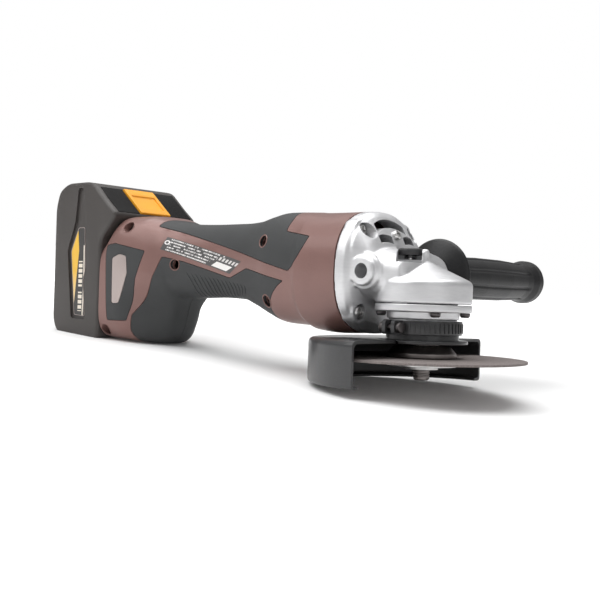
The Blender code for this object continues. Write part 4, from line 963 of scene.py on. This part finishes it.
def makeGearCase():
    s = gearCase
    low, back, lock = s["low"], s["back"], (s["lock"], 0, 0)
    body = casting()
    # crisp faces at the base and at the back
    combined(body, "DIFFERENCE", boxMesh((-26.6, -60, 0), (60, 60, low + 0.05)))
    combined(body, "DIFFERENCE", boxMesh((-60, -60, 0), (back + 0.05, 60, 120)))
    room = turnedMesh([(0, low - 1), (s["room"][0][0], low - 1), *s["room"]], 64)
    x, z = s["handle"]
    studs = [rodMesh(*s["studBore"], (x, 0, z), axis, 32) for axis in ("Y", "-Y")]
    wells = []
    for y, wz in s["screws"]:
        wells.append(rodMesh(s["wellRadius"], s["wellFloor"], -8, (0, y, wz), "X", 32))
        wells.append(rodMesh(s["shankRadius"], -45, s["wellFloor"], (0, y, wz), "X", 20))
    combined(body, "DIFFERENCE", together(room, *studs, *wells))
    seat = turnedMesh([(0, back - 1), (s["bearingSeat"][0][0], back - 1), *s["bearingSeat"]], 48)
    pocket = rodMesh(s["pocketRadius"], s["pocketFloor"], 80, lock, steps=48)
    combined(body, "DIFFERENCE", together(placed(seat, (0, 0, s["motorZ"]), "X"), pocket, *ventTools()))
    near, far = s["notchReach"]
    notch = boxMesh((near, -s["notchHalf"], s["pocketFloor"] - s["notchDrop"]), (far, s["notchHalf"], 80))
    combined(body, "DIFFERENCE", placed(turnedBy(notch, s["notchTurn"]), lock))
    combined(body, "DIFFERENCE", rodMesh(s["pinBore"], 45, 75, lock, steps=24))
    finished("gear_head", body, aluminium, "tool", ["gear_case"], sharp=40)


def ventTools():
    # arched slots over the motor's shaft, cut backwards through the case's slope
    tools = []
    for low, high, left, right, drop in gearCase["vents"]:
        middle, reach = (left + right) / 2, (right - left) / 2
        arc = [(middle + reach * t, 1 - t * t) for t in (k / 8 for k in range(-8, 9))]
        outline = [(y, high - drop * (1 - bow)) for y, bow in arc]
        outline += [(y, low - drop * (1 - bow)) for y, bow in reversed(arc)]
        ring = rounded(outline, 0.8, steps=2)
        tools.append(loftMesh([[(x, y, z) for y, z in ring] for x in gearCase["ventReach"]]))
    return tools


bearingPlate = {"profile": [(10.0, 25.5), (18.7, 25.5), (18.7, 34.0), (20.0, 34.0), (20.0, 38.0), (26.8, 38.0),
                            (26.8, 42.0), (16.3, 42.0), (16.3, 28.0), (10.0, 28.0)], "corner": 0.7}


def makeBearingPlate():
    plate = turnedMesh(rounded(bearingPlate["profile"], bearingPlate["corner"]), 96, ring=True)
    finished("bearing_flange", plate, aluminium, "tool", ["bearing_plate"])


def screwHead(radius, height):
    # a pan head with a crossed recess, its seat at zero and its face along +Z
    profile = [(0, 0), (radius, 0), (radius, height * 0.55), (radius * 0.74, height), (0, height)]
    head = scratch(turnedMesh(rounded(profile, 0.5, False), 32))
    wide, narrow, deep = radius * 0.62, radius * 0.13, height * 0.35
    combined(head, "DIFFERENCE", boxMesh((-wide, -narrow, deep), (wide, narrow, height + 1)))
    combined(head, "DIFFERENCE", boxMesh((-narrow, -wide, deep), (narrow, wide, height + 1)))
    return head


def scatter(name, head, places, material, body, nodes=()):
    made = grownFrom(pointsMesh(places), scatterTree(head, material), {"Size": 1.0})
    bpy.data.objects.remove(head)
    return finished(name, made, material, body, nodes)


# head: radius and height; seat: where the head's underside lies
screwSets = {
    "case": {"head": (4.0, 3.0), "seat": -31.0},
    "vent": {"head": (3.1, 2.4), "place": (-20.2, 0.0, 80.2), "aim": (1, 0, 0.7)},
    "plate": {"head": (2.9, 2.6), "seat": 37.8, "circle": 23.2, "angles": (40, 140, 220, 320)},
    "shell": {"head": (2.9, 2.2)},
}


def numbered(name, count):
    return [f"{name}_{i}" for i in range(1, count + 1)]


def makeScrews():
    case, vent, plate = screwSets["case"], screwSets["vent"], screwSets["plate"]
    places = [((case["seat"], y, z), (1, 0, 0)) for y, z in gearCase["screws"]]
    scatter("case_screws", screwHead(*case["head"]), places, steel, "tool",
            numbered("gear_case_screw", 4))
    scatter("vent_screw", screwHead(*vent["head"]), [(vent["place"], vent["aim"])], steel, "tool")
    reach, turns = plate["circle"], [math.radians(a) for a in plate["angles"]]
    places = [((reach * math.cos(a), reach * math.sin(a), plate["seat"]), (0, 0, -1)) for a in turns]
    scatter("plate_screws", screwHead(*plate["head"]), places, darkSteel, "tool",
            numbered("plate_screw", 4))
    sunk = housing["screwDepth"], housing["headLift"]
    places = [((x, -(surfaceY(x, z) - sunk[0] + sunk[1]), z), (0, -1, 0)) for x, z in housing["screws"]]
    scatter("shell_screws", screwHead(*screwSets["shell"]["head"]), places, wornSteel, "tool",
            numbered("housing_screw", 5))


# cap: radius and height over the shank's end; pin: radius and low end
lockButton = {"rise": 3.6, "shank": 1.9, "pin": (1.4, 52.4),
              "cap": [(5.2, 0), (5.2, -1.1), (6.9, -1.1), (6.9, 2.0), (6.2, 2.8), (4.4, 2.8), (4.0, 2.3), (0, 2.3)]}


def makeLockButton():
    s = lockButton
    x, low, shank = gearCase["lock"], gearCase["pocketFloor"] + s["rise"], s["shank"]
    profile = [(shank, low)] + [(radius, low + height) for radius, height in s["cap"]]
    cap = turnedMesh(rounded(profile, 0.35, False), 56)
    cap = together(cap, turnedMesh([(shank, low), (shank, low + 0.2), (0, low + 0.2)], 56))
    finished("lock_cap", placed(cap, (x, 0, 0)), blackPlastic, "lock", ["lock_button"])
    radius, tip = s["pin"]
    profile = [(0, tip), (radius, tip), (radius, low), (shank, low), (shank, low + 0.4), (0, low + 0.4)]
    pin = turnedMesh(rounded(profile, 0.2, False), 32)
    finished("lock_pin", placed(pin, (x, 0, 0)), steel, "lock")


makeGearCase()
makeBearingPlate()
makeScrews()
makeLockButton()
print("gear head done")


# guard, clamp, disc and spindle

# collar: inner and outer radius, top; band: inner and outer radius, low and high edge
guard = {"radius": 63.0, "top": 22.3, "low": -2.8, "wall": 1.6, "lip": 6.0, "roll": 3.4, "trim": 0.02,
         "collar": (19.0, 20.1, 33.0), "web": 3, "root": 6,
         "band": (20.4, 21.8, 25.5, 33.0), "bandAngle": -96.0, "slot": 6.0,
         "ear": 7, "earSides": (2.0, 4.4), "bolt": 3.4, "boltBore": 1.9,
         "ridges": 46, "ridge": ((-0.2, -0.35, -2.6), (0.45, 0.35, 2.6)), "ridgeFrom": 8,
         "boltForm": [(0, -7.4), (3.0, -7.4), (3.0, -4.7), (1.6, -4.7), (1.6, 4.7), (2.9, 4.7), (2.9, 7.0),
                      (0, 7.0)],
         "socket": [(0, -8), (1.5, -8), (1.5, -5.6), (0, -5.6)]}


def makeGuard():
    s = guard
    r, top, low, wall, trim = s["radius"], s["top"], s["low"], s["wall"], s["trim"]
    inner, outer, high = s["collar"]
    web, root = inner + s["web"], inner + s["root"]
    cover = [(web, top), (r - trim, top), (r - trim, low + trim), (r - s["lip"], low + trim),
             (r - s["lip"], low + wall), (r - wall, low + wall), (r - wall, top - wall), (web, top - wall)]
    shell = scratch(turnedMesh(rounded(cover, s["roll"], steps=6), 96, ring=True, start=90.0, angle=180.0))
    collar = [(inner, top - wall - 0.1), (root, top - wall - 0.1), (root, top + 0.1), (outer, top + 0.2),
              (outer, high), (inner, high)]
    combined(shell, "UNION", turnedMesh(rounded(collar, 0.35), 96, ring=True))
    finished("guard_cover", shell, guardPaint, "guard", ["guard_shell"], sharp=30)


def makeBand():
    s = guard
    inner, outer, low, high = s["band"]
    turn, start, span = s["bandAngle"], s["bandAngle"] + s["slot"], 360 - 2 * s["slot"]
    reach, middle = outer + s["ear"], (low + high) / 2
    loop = rounded([(inner, low), (outer, low), (outer, high), (inner, high)], 0.4)
    strap = scratch(turnedMesh(loop, 96, ring=True, start=start, angle=span))
    ear = rounded([(inner + 0.4, low), (reach, low), (reach, high), (inner + 0.4, high)], 1.6)
    for sign in (-1, 1):
        near, far = sorted(sign * y for y in s["earSides"])
        combined(strap, "UNION", turnedBy(slabMesh(ear, near, far), turn))
    bore = rodMesh(s["boltBore"], -8, 8, (reach - s["bolt"], 0, middle), "Y", 24)
    combined(strap, "DIFFERENCE", turnedBy(bore, turn))
    finished("clamp_strap", strap, guardPaint, "guard", ["guard_clamp_band"])
    ridge = scratch(boxMesh(*s["ridge"]))
    ridgeSpan = span - 2 * s["ridgeFrom"]
    angles = [math.radians(start + s["ridgeFrom"] + ridgeSpan * i / (s["ridges"] - 1)) for i in range(s["ridges"])]
    points = pointsMesh([((outer * math.cos(a), outer * math.sin(a), middle), (0, 0, 1)) for a in angles])
    turns = points.data.attributes.new("turn", "FLOAT", "POINT")
    for i, a in enumerate(angles):
        turns.data[i].value = a
    made = grownFrom(points, scatterTree(ridge, guardPaint, spun=True), {"Size": 1.0})
    bpy.data.objects.remove(ridge)
    finished("clamp_ridges", made, guardPaint, "guard")
    screw = scratch(turnedMesh(rounded(s["boltForm"], 0.35, False), 32))
    combined(screw, "DIFFERENCE", turnedMesh(s["socket"], 6))
    bolt = bmesh.new()
    bolt.from_mesh(screw.data)
    bpy.data.objects.remove(screw)
    bolt = turnedBy(placed(bolt, (reach - s["bolt"], 0, middle), "Y"), turn)
    finished("clamp_bolt", bolt, darkSteel, "guard", ["guard_clamp_screw"])


wheel = {"radius": 57.5, "bore": 11.1, "low": 11.4, "high": 12.6, "eyelet": (15.6, 0.05, 0.02),
         "flange": 19.0, "flangeHigh": 19.0, "flangeRim": 2.6, "flangeSlope": 3.6, "hub": 10.8, "gap": 0.3,
         "nutRadius": 19.5, "nutLow": 6.0, "nutHub": 9.2, "nutStep": 8.0, "thread": 4.8,
         "pinCircle": 14.5, "pinRadius": 2.2, "pins": 4}


def makeWheel():
    s = wheel
    low, high, gap, rim = s["low"], s["high"], s["gap"], s["flange"]
    profile = [(s["bore"], low), (s["radius"], low), (s["radius"], high), (s["bore"], high)]
    disc = turnedMesh(rounded(profile, 0.12), 160, ring=True)
    finished("abrasive_disc", disc, abrasive, "spindle", ["cutting_disc"])
    reach, thick, clear = s["eyelet"]
    start = s["bore"] + clear
    ring = turnedMesh([(start, high), (reach, high), (reach, high + thick), (start, high + thick)], 72, ring=True)
    finished("disc_eyelet", ring, brass, "spindle")
    bore = s["thread"] + 0.3
    profile = [(bore, low + gap), (s["hub"], low + gap), (s["hub"], high + gap), (rim, high + gap),
               (rim, high + s["flangeRim"]), (rim - s["flangeSlope"], s["flangeHigh"]), (bore, s["flangeHigh"])]
    flange = turnedMesh(rounded(profile, 0.35), 96, ring=True)
    finished("disc_flange", flange, wornSteel, "spindle", ["inner_flange"])
    profile = [(bore, s["nutLow"]), (s["nutHub"], s["nutLow"]), (s["nutHub"], s["nutStep"]),
               (s["nutRadius"], s["nutStep"]), (s["nutRadius"], low - gap), (bore, low - gap)]
    nut = scratch(turnedMesh(rounded(profile, 0.4), 96, ring=True))
    for step in range(s["pins"]):
        hole = rodMesh(s["pinRadius"], s["nutLow"], s["nutStep"] + 2.0, (s["pinCircle"], 0, 0), steps=28)
        combined(nut, "DIFFERENCE", turnedBy(hole, 45 + 360 / s["pins"] * step))
    finished("spindle_nut", nut, steel, "spindle", ["lock_nut"])


# profile: radius and height of the steps over the thread
spindleShaft = {"core": 4.15, "tip": (3.6, 0.6), "shoulder": 19.3,
                "profile": [(9.2, 19.3), (9.2, 28.0), (6.0, 28.0), (6.0, 38.3), (5.5, 38.3), (5.5, 54), (4.0, 54),
                            (4.0, 62), (0, 62)],
                "crest": 4.25, "wire": 0.52, "pitch": 1.5, "low": 1.0, "high": 19.4, "steps": 28}


def makeSpindle():
    s = spindleShaft
    tip, bevel = s["tip"]
    profile = [(0, 0), (tip, 0), (s["core"], bevel), (s["core"], s["shoulder"]), *s["profile"]]
    finished("drive_spindle", turnedMesh(rounded(profile, 0.25, False), 64), wornSteel, "spindle",
             ["spindle"])
    count = int((s["high"] - s["low"]) / s["pitch"] * s["steps"])
    path = []
    for i in range(count + 1):
        a = 2 * math.pi * i / s["steps"]
        path.append((s["crest"] * math.cos(a), s["crest"] * math.sin(a), s["low"] + s["pitch"] * i / s["steps"]))
    made = grownFrom(linesMesh([path]), stripTree(wornSteel), {"Radius": s["wire"], "Sides": 6})
    finished("spindle_thread", made, wornSteel, "spindle", sharp=60)


makeGuard()
makeBand()
makeWheel()
makeSpindle()
print("guard and disc done")


# side handle: a grid turned round the stud by a rule for its radius

# stud: its two ends along Y; bore and core are radii; radii: share of the length, radius
sideHandle = {"x": -20.4, "z": 59.2, "start": 32.2, "end": 158.0, "grooves": 8, "depth": 1.0,
              "groovesFrom": 0.19, "groovesTo": 0.87, "largest": 25.0, "rings": 260, "spokes": 192,
              "stud": (16.8, 69.0), "bore": 4.3, "core": 3.5, "crest": 3.55, "wire": 0.42, "pitch": 1.25,
              "turns": 12, "steps": 24,
              "radii": [(0.0, 7.0), (0.004, 7.5), (0.045, 10.6), (0.075, 19.5), (0.088, 21.9), (0.1, 22.7),
                        (0.112, 21.9), (0.124, 18.8), (0.138, 14.6), (0.175, 12.6), (0.24, 12.5), (0.42, 13.3),
                        (0.66, 13.3), (0.83, 12.5), (0.88, 12.9), (0.925, 14.4), (0.965, 14.4), (0.992, 12.8),
                        (1.0, 10.0)]}


def makeSideHandle():
    s = sideHandle
    tree = Tree("handle", {"Length": 1.0, "Grooves": 16.0, "Depth": 0.7, "Rings": 240, "Spokes": 160})
    grid = tree.node("GeometryNodeMeshGrid", inputs={
        "Size X": 1.0, "Size Y": 1.0, "Vertices X": tree.size("Rings"),
        "Vertices Y": tree.size("Spokes")}, output="Mesh")
    place = tree.node("GeometryNodeInputPosition")
    along, around = place.part("X") + 0.5, place.part("Y") + 0.5
    shape = [(share, radius / s["largest"]) for share, radius in s["radii"]]
    radius = tree.node("ShaderNodeFloatCurve", {"shape": shape}, {"Value": along}) * s["largest"]
    ridge = (around * tree.size("Grooves") * (2 * math.pi)).cosine() * 0.5 + 0.5
    valley = (1.0 - ridge).most(0.0)
    narrow = valley
    for _ in range(7):
        narrow = narrow * valley
    bands = ((along - s["groovesFrom"]) * 40.0).clamped() * ((s["groovesTo"] - along) * 40.0).clamped()
    reach = radius - narrow * bands * tree.size("Depth")
    angle = around * (2 * math.pi)
    moved = tree.node("ShaderNodeCombineXYZ", inputs={"X": reach * angle.cosine(), "Y": reach * angle.sine(),
                                                      "Z": along * tree.size("Length")})
    bent = tree.node("GeometryNodeSetPosition", inputs={"Geometry": grid, "Position": moved})
    joined = tree.node("GeometryNodeMergeByDistance", inputs={"Geometry": bent, "Distance": 0.0005})
    group = tree.finish(joined, handleRubber)
    length = s["end"] - s["start"]
    made = grownFrom(linesMesh([]), group, {"Length": length, "Grooves": float(s["grooves"]), "Depth": s["depth"],
                                            "Rings": s["rings"], "Spokes": s["spokes"]})
    shell = bmesh.new()
    shell.from_mesh(made.data)
    bpy.data.objects.remove(made)
    bmesh.ops.holes_fill(shell, edges=[e for e in shell.edges if e.is_boundary], sides=0)
    body = scratch(placed(shell, (s["x"], s["start"], s["z"]), "Y"))
    low, high = s["stud"]
    bore = rodMesh(s["bore"], s["start"] - 1, high + 0.6, (s["x"], 0, s["z"]), "Y", 32)
    combined(body, "DIFFERENCE", bore)
    finished("side_grip", body, handleRubber, "side_handle", ["handle_grip"], sharp=50)
    profile = rounded([(0, low), (s["core"], low), (s["core"], high), (0, high)], 0.4, False)
    stud = placed(turnedMesh(profile, 40), (s["x"], 0, s["z"]), "Y")
    finished("grip_stud", stud, steel, "side_handle", ["handle_stud"])
    path = []
    for i in range(s["turns"] * s["steps"] + 1):
        a = 2 * math.pi * i / s["steps"]
        path.append((s["x"] + s["crest"] * math.cos(a), low + 0.8 + s["pitch"] * i / s["steps"],
                     s["z"] + s["crest"] * math.sin(a)))
    coil = grownFrom(linesMesh([path]), stripTree(steel), {"Radius": s["wire"], "Sides": 6})
    finished("stud_thread", coil, steel, "side_handle", sharp=60)


makeSideHandle()
print("side handle done")


# battery and its latch

battery = {
    "front": -242.6, "rear": -296.0, "low": 11.0, "high": 120.0, "half": 37.3, "split": -263.0, "wall": 2.4,
    "side": 3.6, "room": (16.0, 109.0), "step": 79.3, "shoulder": 16.5, "bevel": 2.4, "corner": 4.5,
    # the T rail: half widths of neck and head, low and high end; its contacts sit at these places along Y
    "rail": (18.0, 24.0, 24.0, 74.0), "contacts": (-9, 9), "contactHalf": 0.9,
    # the recessed channel down each side, and the printed strip in it
    "channel": [(-263.0, 116.0), (-268.6, 116.0), (-271.5, 92), (-279.5, 72), (-273.5, 24), (-257, 23.5),
                (-260, 50), (-257.5, 60), (-259, 90)], "channelDepth": 1.5,
    "decal": [(-262.0, 88.0), (-268.8, 88.0), (-276.8, 71.5), (-271.4, 26.5), (-259.6, 26.0), (-262.4, 50.5),
              (-260.0, 60.5)], "decalBack": 0.1, "decalFace": 0.12, "frameWire": 0.26,
    # the latch and the plates beside it: half widths, thickness and how far it is pressed
    "latchHalf": 13.5, "latchThick": 2.6, "latchTravel": 2.5, "plateGap": 0.9, "plateEnd": 33.0,
}


def packOutline():
    s = battery
    tip = s["front"] + s["shoulder"]
    back, low, high = s["rear"], s["low"], s["high"]
    return [(s["front"], low), (s["front"], s["step"]), (tip, s["step"] + s["shoulder"] * 1.045),
            (tip - 12, high - 14), (tip - 26, high - 1.5), (tip - 33, high), (back + 14, high),
            (back + 4, high - 5), (back, high - 17), (back, low + 12), (back + 3, low + 5), (back + 8, low + 1),
            (back + 16, low)]


def packForm(inset=0.0):
    # the whole pack, filled, with its long edges rounded over
    half, bevel = battery["half"] - inset, battery["bevel"]
    outline = rounded(packOutline(), battery["corner"], steps=5)
    rings = [(-half + bevel * (1 - math.cos(a)), grown(outline, -inset - bevel * (1 - math.sin(a))))
             for a in (math.pi / 2 * k / 6 for k in range(7))]
    rings += [(-y, ring) for y, ring in reversed(rings)]
    return loftMesh([[(x, y, z) for x, z in ring] for y, ring in rings])


def latchBar(depth, lift=0.0, raised=1.2):
    # the outline of a bar let into the pack's sloping top, with the ways along and out of the slope
    outline = packOutline()
    low, high = Vector(outline[2]), Vector(outline[4])
    run = (high - low).normalized()
    out = Vector((run.y, -run.x))
    out = -out if out.y < 0 else out
    a, b = low + run * (3 + lift), high - run * (3 + lift)
    corners = [a - out * (depth - 2 * lift), b - out * (depth - 2 * lift), b + out * raised, a + out * raised]
    return [tuple(c) for c in corners], run, out


def makeBattery():
    s = battery
    whole = scratch(packForm())
    low, high = s["room"]
    room = boxMesh((s["rear"] + s["wall"], -s["half"] + s["side"], low),
                   (s["front"] - s["wall"], s["half"] - s["side"], high))
    combined(whole, "DIFFERENCE", room)
    channel = rounded(s["channel"], 2.0)
    for side, _ in sides:
        near, far = sorted((side * (s["half"] - s["channelDepth"]), side * 45))
        combined(whole, "DIFFERENCE", slabMesh(channel, near, far))
    bar, _, _ = latchBar(s["latchThick"] + s["latchTravel"] + 0.6)
    combined(whole, "DIFFERENCE", slabMesh(bar, -s["latchHalf"] - 0.3, s["latchHalf"] + 0.3))
    neck, head, low, high = s["rail"]
    combined(whole, "UNION", boxMesh((s["front"] - 1.2, -neck, low), (-238.9, neck, high)))
    combined(whole, "UNION", boxMesh((-239.0, -head, low), (-235.6, head, high)))
    half = s["contactHalf"]
    for y in s["contacts"]:
        combined(whole, "DIFFERENCE", boxMesh((-242.2, y - half, low - 1), (-234, y + half, 41)))
    # a groove where the pack's two shells meet
    groove = scratch(boxMesh((s["split"] - 0.35, -50, 0), (s["split"] + 0.35, 50, 130)))
    combined(groove, "DIFFERENCE", packForm(0.8))
    combined(whole, "DIFFERENCE", groove)
    finished("pack_case", whole, batteryBlack, "battery",
             ["battery_case_rear", "battery_case_front"])


def makePackTrim():
    s = battery
    # the printed strip in each side's channel, with a thin frame round it
    tree = stripTree(batteryBlack)
    outline = rounded(s["decal"], 1.5)
    xs, zs = [p[0] for p in outline], [p[1] for p in outline]
    left, low, wide, tall = min(xs), min(zs), max(xs) - min(xs), max(zs) - min(zs)
    for side, word in sides:
        y = side * (s["half"] - s["channelDepth"])
        back, face = y - side * s["decalBack"], y + side * s["decalFace"]
        plate = loftMesh([[(x, level, z) for x, z in outline] for level in (back, face)])
        uv = plate.loops.layers.uv.new("UVMap")
        for part in plate.faces:
            for loop in part.loops:
                loop[uv].uv = ((loop.vert.co.x - left) / wide, (loop.vert.co.z - low) / tall)
        finished("pack_print_" + word, plate, decalPrint, "battery")
        rim = [(x, y + side * 0.05, z) for x, z in outline]
        border = grownFrom(linesMesh([rim], closed=True), tree, {"Radius": s["frameWire"], "Sides": 6})
        finished("pack_frame_" + word, border, badgeSilver, "battery", sharp=60)
    # near-black glossy plates let into the sloping top beside the latch: glossy black plastic, made darker than
    # plastic is as painted shade over that part of the slope
    bar, _, _ = latchBar(0.5, 0.0, 0.12)
    start, end = s["latchHalf"] + s["plateGap"], s["plateEnd"]
    plates = [slabMesh(rounded(bar, 0.3), *sorted((side * start, side * end))) for side, _ in sides]
    finished("pack_top_plates", together(*plates), glossBlackPaintedShade, "battery")


def makeLatch():
    s = battery
    half = s["latchHalf"] - 0.15
    corners, _, out = latchBar(s["latchThick"], 0.3, 1.1)
    body = scratch(slabMesh(rounded(corners, 0.7), -half, half))
    low, high = Vector(corners[3]), Vector(corners[2])
    # a recessed middle, and a row of grip ribs along its upper edge
    a, b = low.lerp(high, 0.2), low.lerp(high, 0.74)
    dish = [tuple(a - out * 1.0), tuple(b - out * 1.0), tuple(b + out * 3), tuple(a + out * 3)]
    combined(body, "DIFFERENCE", slabMesh(rounded(dish, 0.8), -half + 2.6, half - 2.6))
    finished("pack_latch", body, latchOrange, "latch", ["battery_latch"])
    paths = []
    for i in range(15):
        y = -half + 1.6 + (2 * half - 3.2) * i / 14
        ends = [low.lerp(high, t) - out * 0.1 for t in (0.79, 0.985)]
        paths.append([(e.x, y, e.y) for e in ends])
    made = grownFrom(linesMesh(paths), stripTree(latchOrange), {"Radius": 0.34, "Sides": 8})
    finished("latch_ribs", made, latchOrange, "latch", sharp=60)


makeBattery()
makePackTrim()
makeLatch()
print("battery done")


# switch slider on the left side

# rear, front, low and high of the cap; stem: from and to along X, from and to along Z
slider = {"rear": -97.0, "front": -78.0, "low": 56.0, "high": 68.0, "middle": 62, "rise": 3.0, "travel": 4.0,
          "stem": (-91.7, -83.3, 59.0, 65.0), "stemDepth": 27.2, "ribs": 6, "ribFrom": 5.5, "ribStep": 1.9}


def makeSlider():
    s = slider
    travelled = (s["rear"], s["front"], s["front"] + s["travel"])
    under = max(surfaceY(x, s["low"] + 3) for x in travelled) + 0.3
    rings = []
    for x in (s["rear"], s["front"]):
        base = max(surfaceY(x, s["middle"]), surfaceY(x + s["travel"], s["middle"])) + 0.45
        top = base + s["rise"] - 0.25
        corners = [(base, s["low"]), (top, s["low"]), (top, s["high"]), (base, s["high"])]
        rings.append([Vector((x, y, z)) for y, z in rounded(corners, 1.1)])
    cap = scratch(loftMesh(rings))
    x0, x1, z0, z1 = s["stem"]
    combined(cap, "UNION", boxMesh((x0, s["stemDepth"], z0), (x1, under + 1.2, z1)))
    finished("slider_cap", cap, blackPlastic, "switch", ["switch_slider"])
    start, end = rings[0][0][1], rings[1][0][1]
    paths = []
    for i in range(s["ribs"]):
        x = s["rear"] + s["ribFrom"] + s["ribStep"] * i
        y = start + (end - start) * (x - s["rear"]) / (s["front"] - s["rear"]) + s["rise"] - 0.35
        paths.append([(x, y, s["low"] + 1.8), (x, y, s["high"] - 1.8)])
    made = grownFrom(linesMesh(paths), stripTree(blackPlastic), {"Radius": 0.5, "Sides": 8})
    finished("slider_ribs", made, blackPlastic, "switch", sharp=60)


makeSlider()
print("slider done")


# materials of the pieces that keep their own shape

carried = {
    "steel": steel, "dark_steel": darkSteel, "cast_aluminium": aluminium, "windings": copper, "bronze": brass,
    "black_plastic": blackPlastic, "circuit_board": board, "cell_wrap": cellBlue, "brown_plastic": brown,
    "grip_rubber": grip, "battery_plastic": batteryBlack, "latch_plastic": latchOrange, "badge": badgeSilver,
    "guard_paint": guardPaint, "abrasive": abrasive,
}
slotOf = {node: row["slot"] for row in frame["record"].get("materials", []) for node in row.get("nodes", [])}
for name, node in frame["nodes"].items():
    node.data.materials.clear()
    node.data.materials.append(carried.get(slotOf.get(name), blackPlastic))


# floor, light and camera

studio = {"slope": 4.39, "touch": (-59.0, -2.8), "drop": 0.3, "size": 6.0, "floor": (0.93, 0.93, 0.93),
          "world": 0.36, "target": (-0.1, -0.02, 0.05),
          "key": {"place": (-0.55, -0.8, 0.95), "size": 0.9, "power": 7.0},
          "fill": {"place": (1.0, -0.4, 0.5), "size": 0.7, "power": 0.9},
          "top": {"place": (-0.15, 0.1, 1.5), "size": 1.6, "power": 24.0},
          "camera": {"place": (0.301125, -0.450495, 0.042769), "turn": (89.937, -1.877, 41.014),
                     "lens": 58.19, "sensor": 36.0, "clip": (0.01, 50.0)}}


def makeFloor():
    # a flat floor, tilted to pass just under the guard's rim and the foot
    s = studio
    tilt = math.tan(math.radians(s["slope"]))
    x0, z0 = s["touch"][0] * mm, (s["touch"][1] - s["drop"]) * mm
    bm = bmesh.new()
    half = s["size"] / 2
    places = ((-half, -half), (half, -half), (half, half), (-half, half))
    corners = [bm.verts.new((x, y, z0 - (x - x0) * tilt)) for x, y in places]
    bm.faces.new(corners)
    mesh = bpy.data.meshes.new("floor")
    bm.to_mesh(mesh)
    bm.free()
    floor = bpy.data.objects.new("floor", mesh)
    bpy.context.scene.collection.objects.link(floor)
    pale = Finish("paleFloor", s["floor"], 0.9, Emission_Strength=1.0)
    # painted light: the floor glows, faintly near the tool and more strongly farther out, so that its far part
    # stays white
    reach = pale.node("ShaderNodeVectorMath", {"operation": "LENGTH"}, {0: pale.place}, "Value")
    away = (reach - 0.4) * 1.7
    pale.set("Emission Color", pale.blend((0.03, 0.03, 0.03), (0.7, 0.7, 0.7), away.clamped()))
    floor.data.materials.append(pale.material)


def makeLights():
    world = bpy.data.worlds.new("studio")
    world.use_nodes = True
    tree = world.node_tree
    glow = tree.nodes["Background"]
    glow.inputs["Color"].default_value = (1.0, 1.0, 1.0, 1.0)
    glow.inputs["Strength"].default_value = studio["world"]
    # the backdrop is white to look at and lights the tool more softly than that
    white, ray, mix = (tree.nodes.new("ShaderNode" + kind) for kind in ("Background", "LightPath", "MixShader"))
    white.inputs["Color"].default_value = (1.0, 1.0, 1.0, 1.0)
    tree.links.new(ray.outputs["Is Camera Ray"], mix.inputs[0])
    tree.links.new(glow.outputs[0], mix.inputs[1])
    tree.links.new(white.outputs[0], mix.inputs[2])
    tree.links.new(mix.outputs[0], tree.nodes["World Output"].inputs["Surface"])
    bpy.context.scene.world = world
    for name in ("key", "fill", "top"):
        s = studio[name]
        lamp = bpy.data.lights.new(name, "AREA")
        lamp.energy, lamp.size = s["power"], s["size"]
        thing = bpy.data.objects.new(name, lamp)
        thing.location = s["place"]
        thing.rotation_euler = (Vector(studio["target"]) - Vector(s["place"])).to_track_quat("-Z", "Y").to_euler()
        bpy.context.scene.collection.objects.link(thing)


def makeCamera():
    s = studio["camera"]
    lens = bpy.data.cameras.new("camera")
    lens.lens, lens.sensor_width = s["lens"], s["sensor"]
    lens.clip_start, lens.clip_end = s["clip"]
    camera = bpy.data.objects.new("camera", lens)
    camera.location = s["place"]
    camera.rotation_euler = [math.radians(a) for a in s["turn"]]
    bpy.context.scene.collection.objects.link(camera)
    bpy.context.scene.camera = camera


makeFloor()
makeLights()
makeCamera()
bpy.context.scene.view_settings.view_transform = "Standard"

print("studio done")
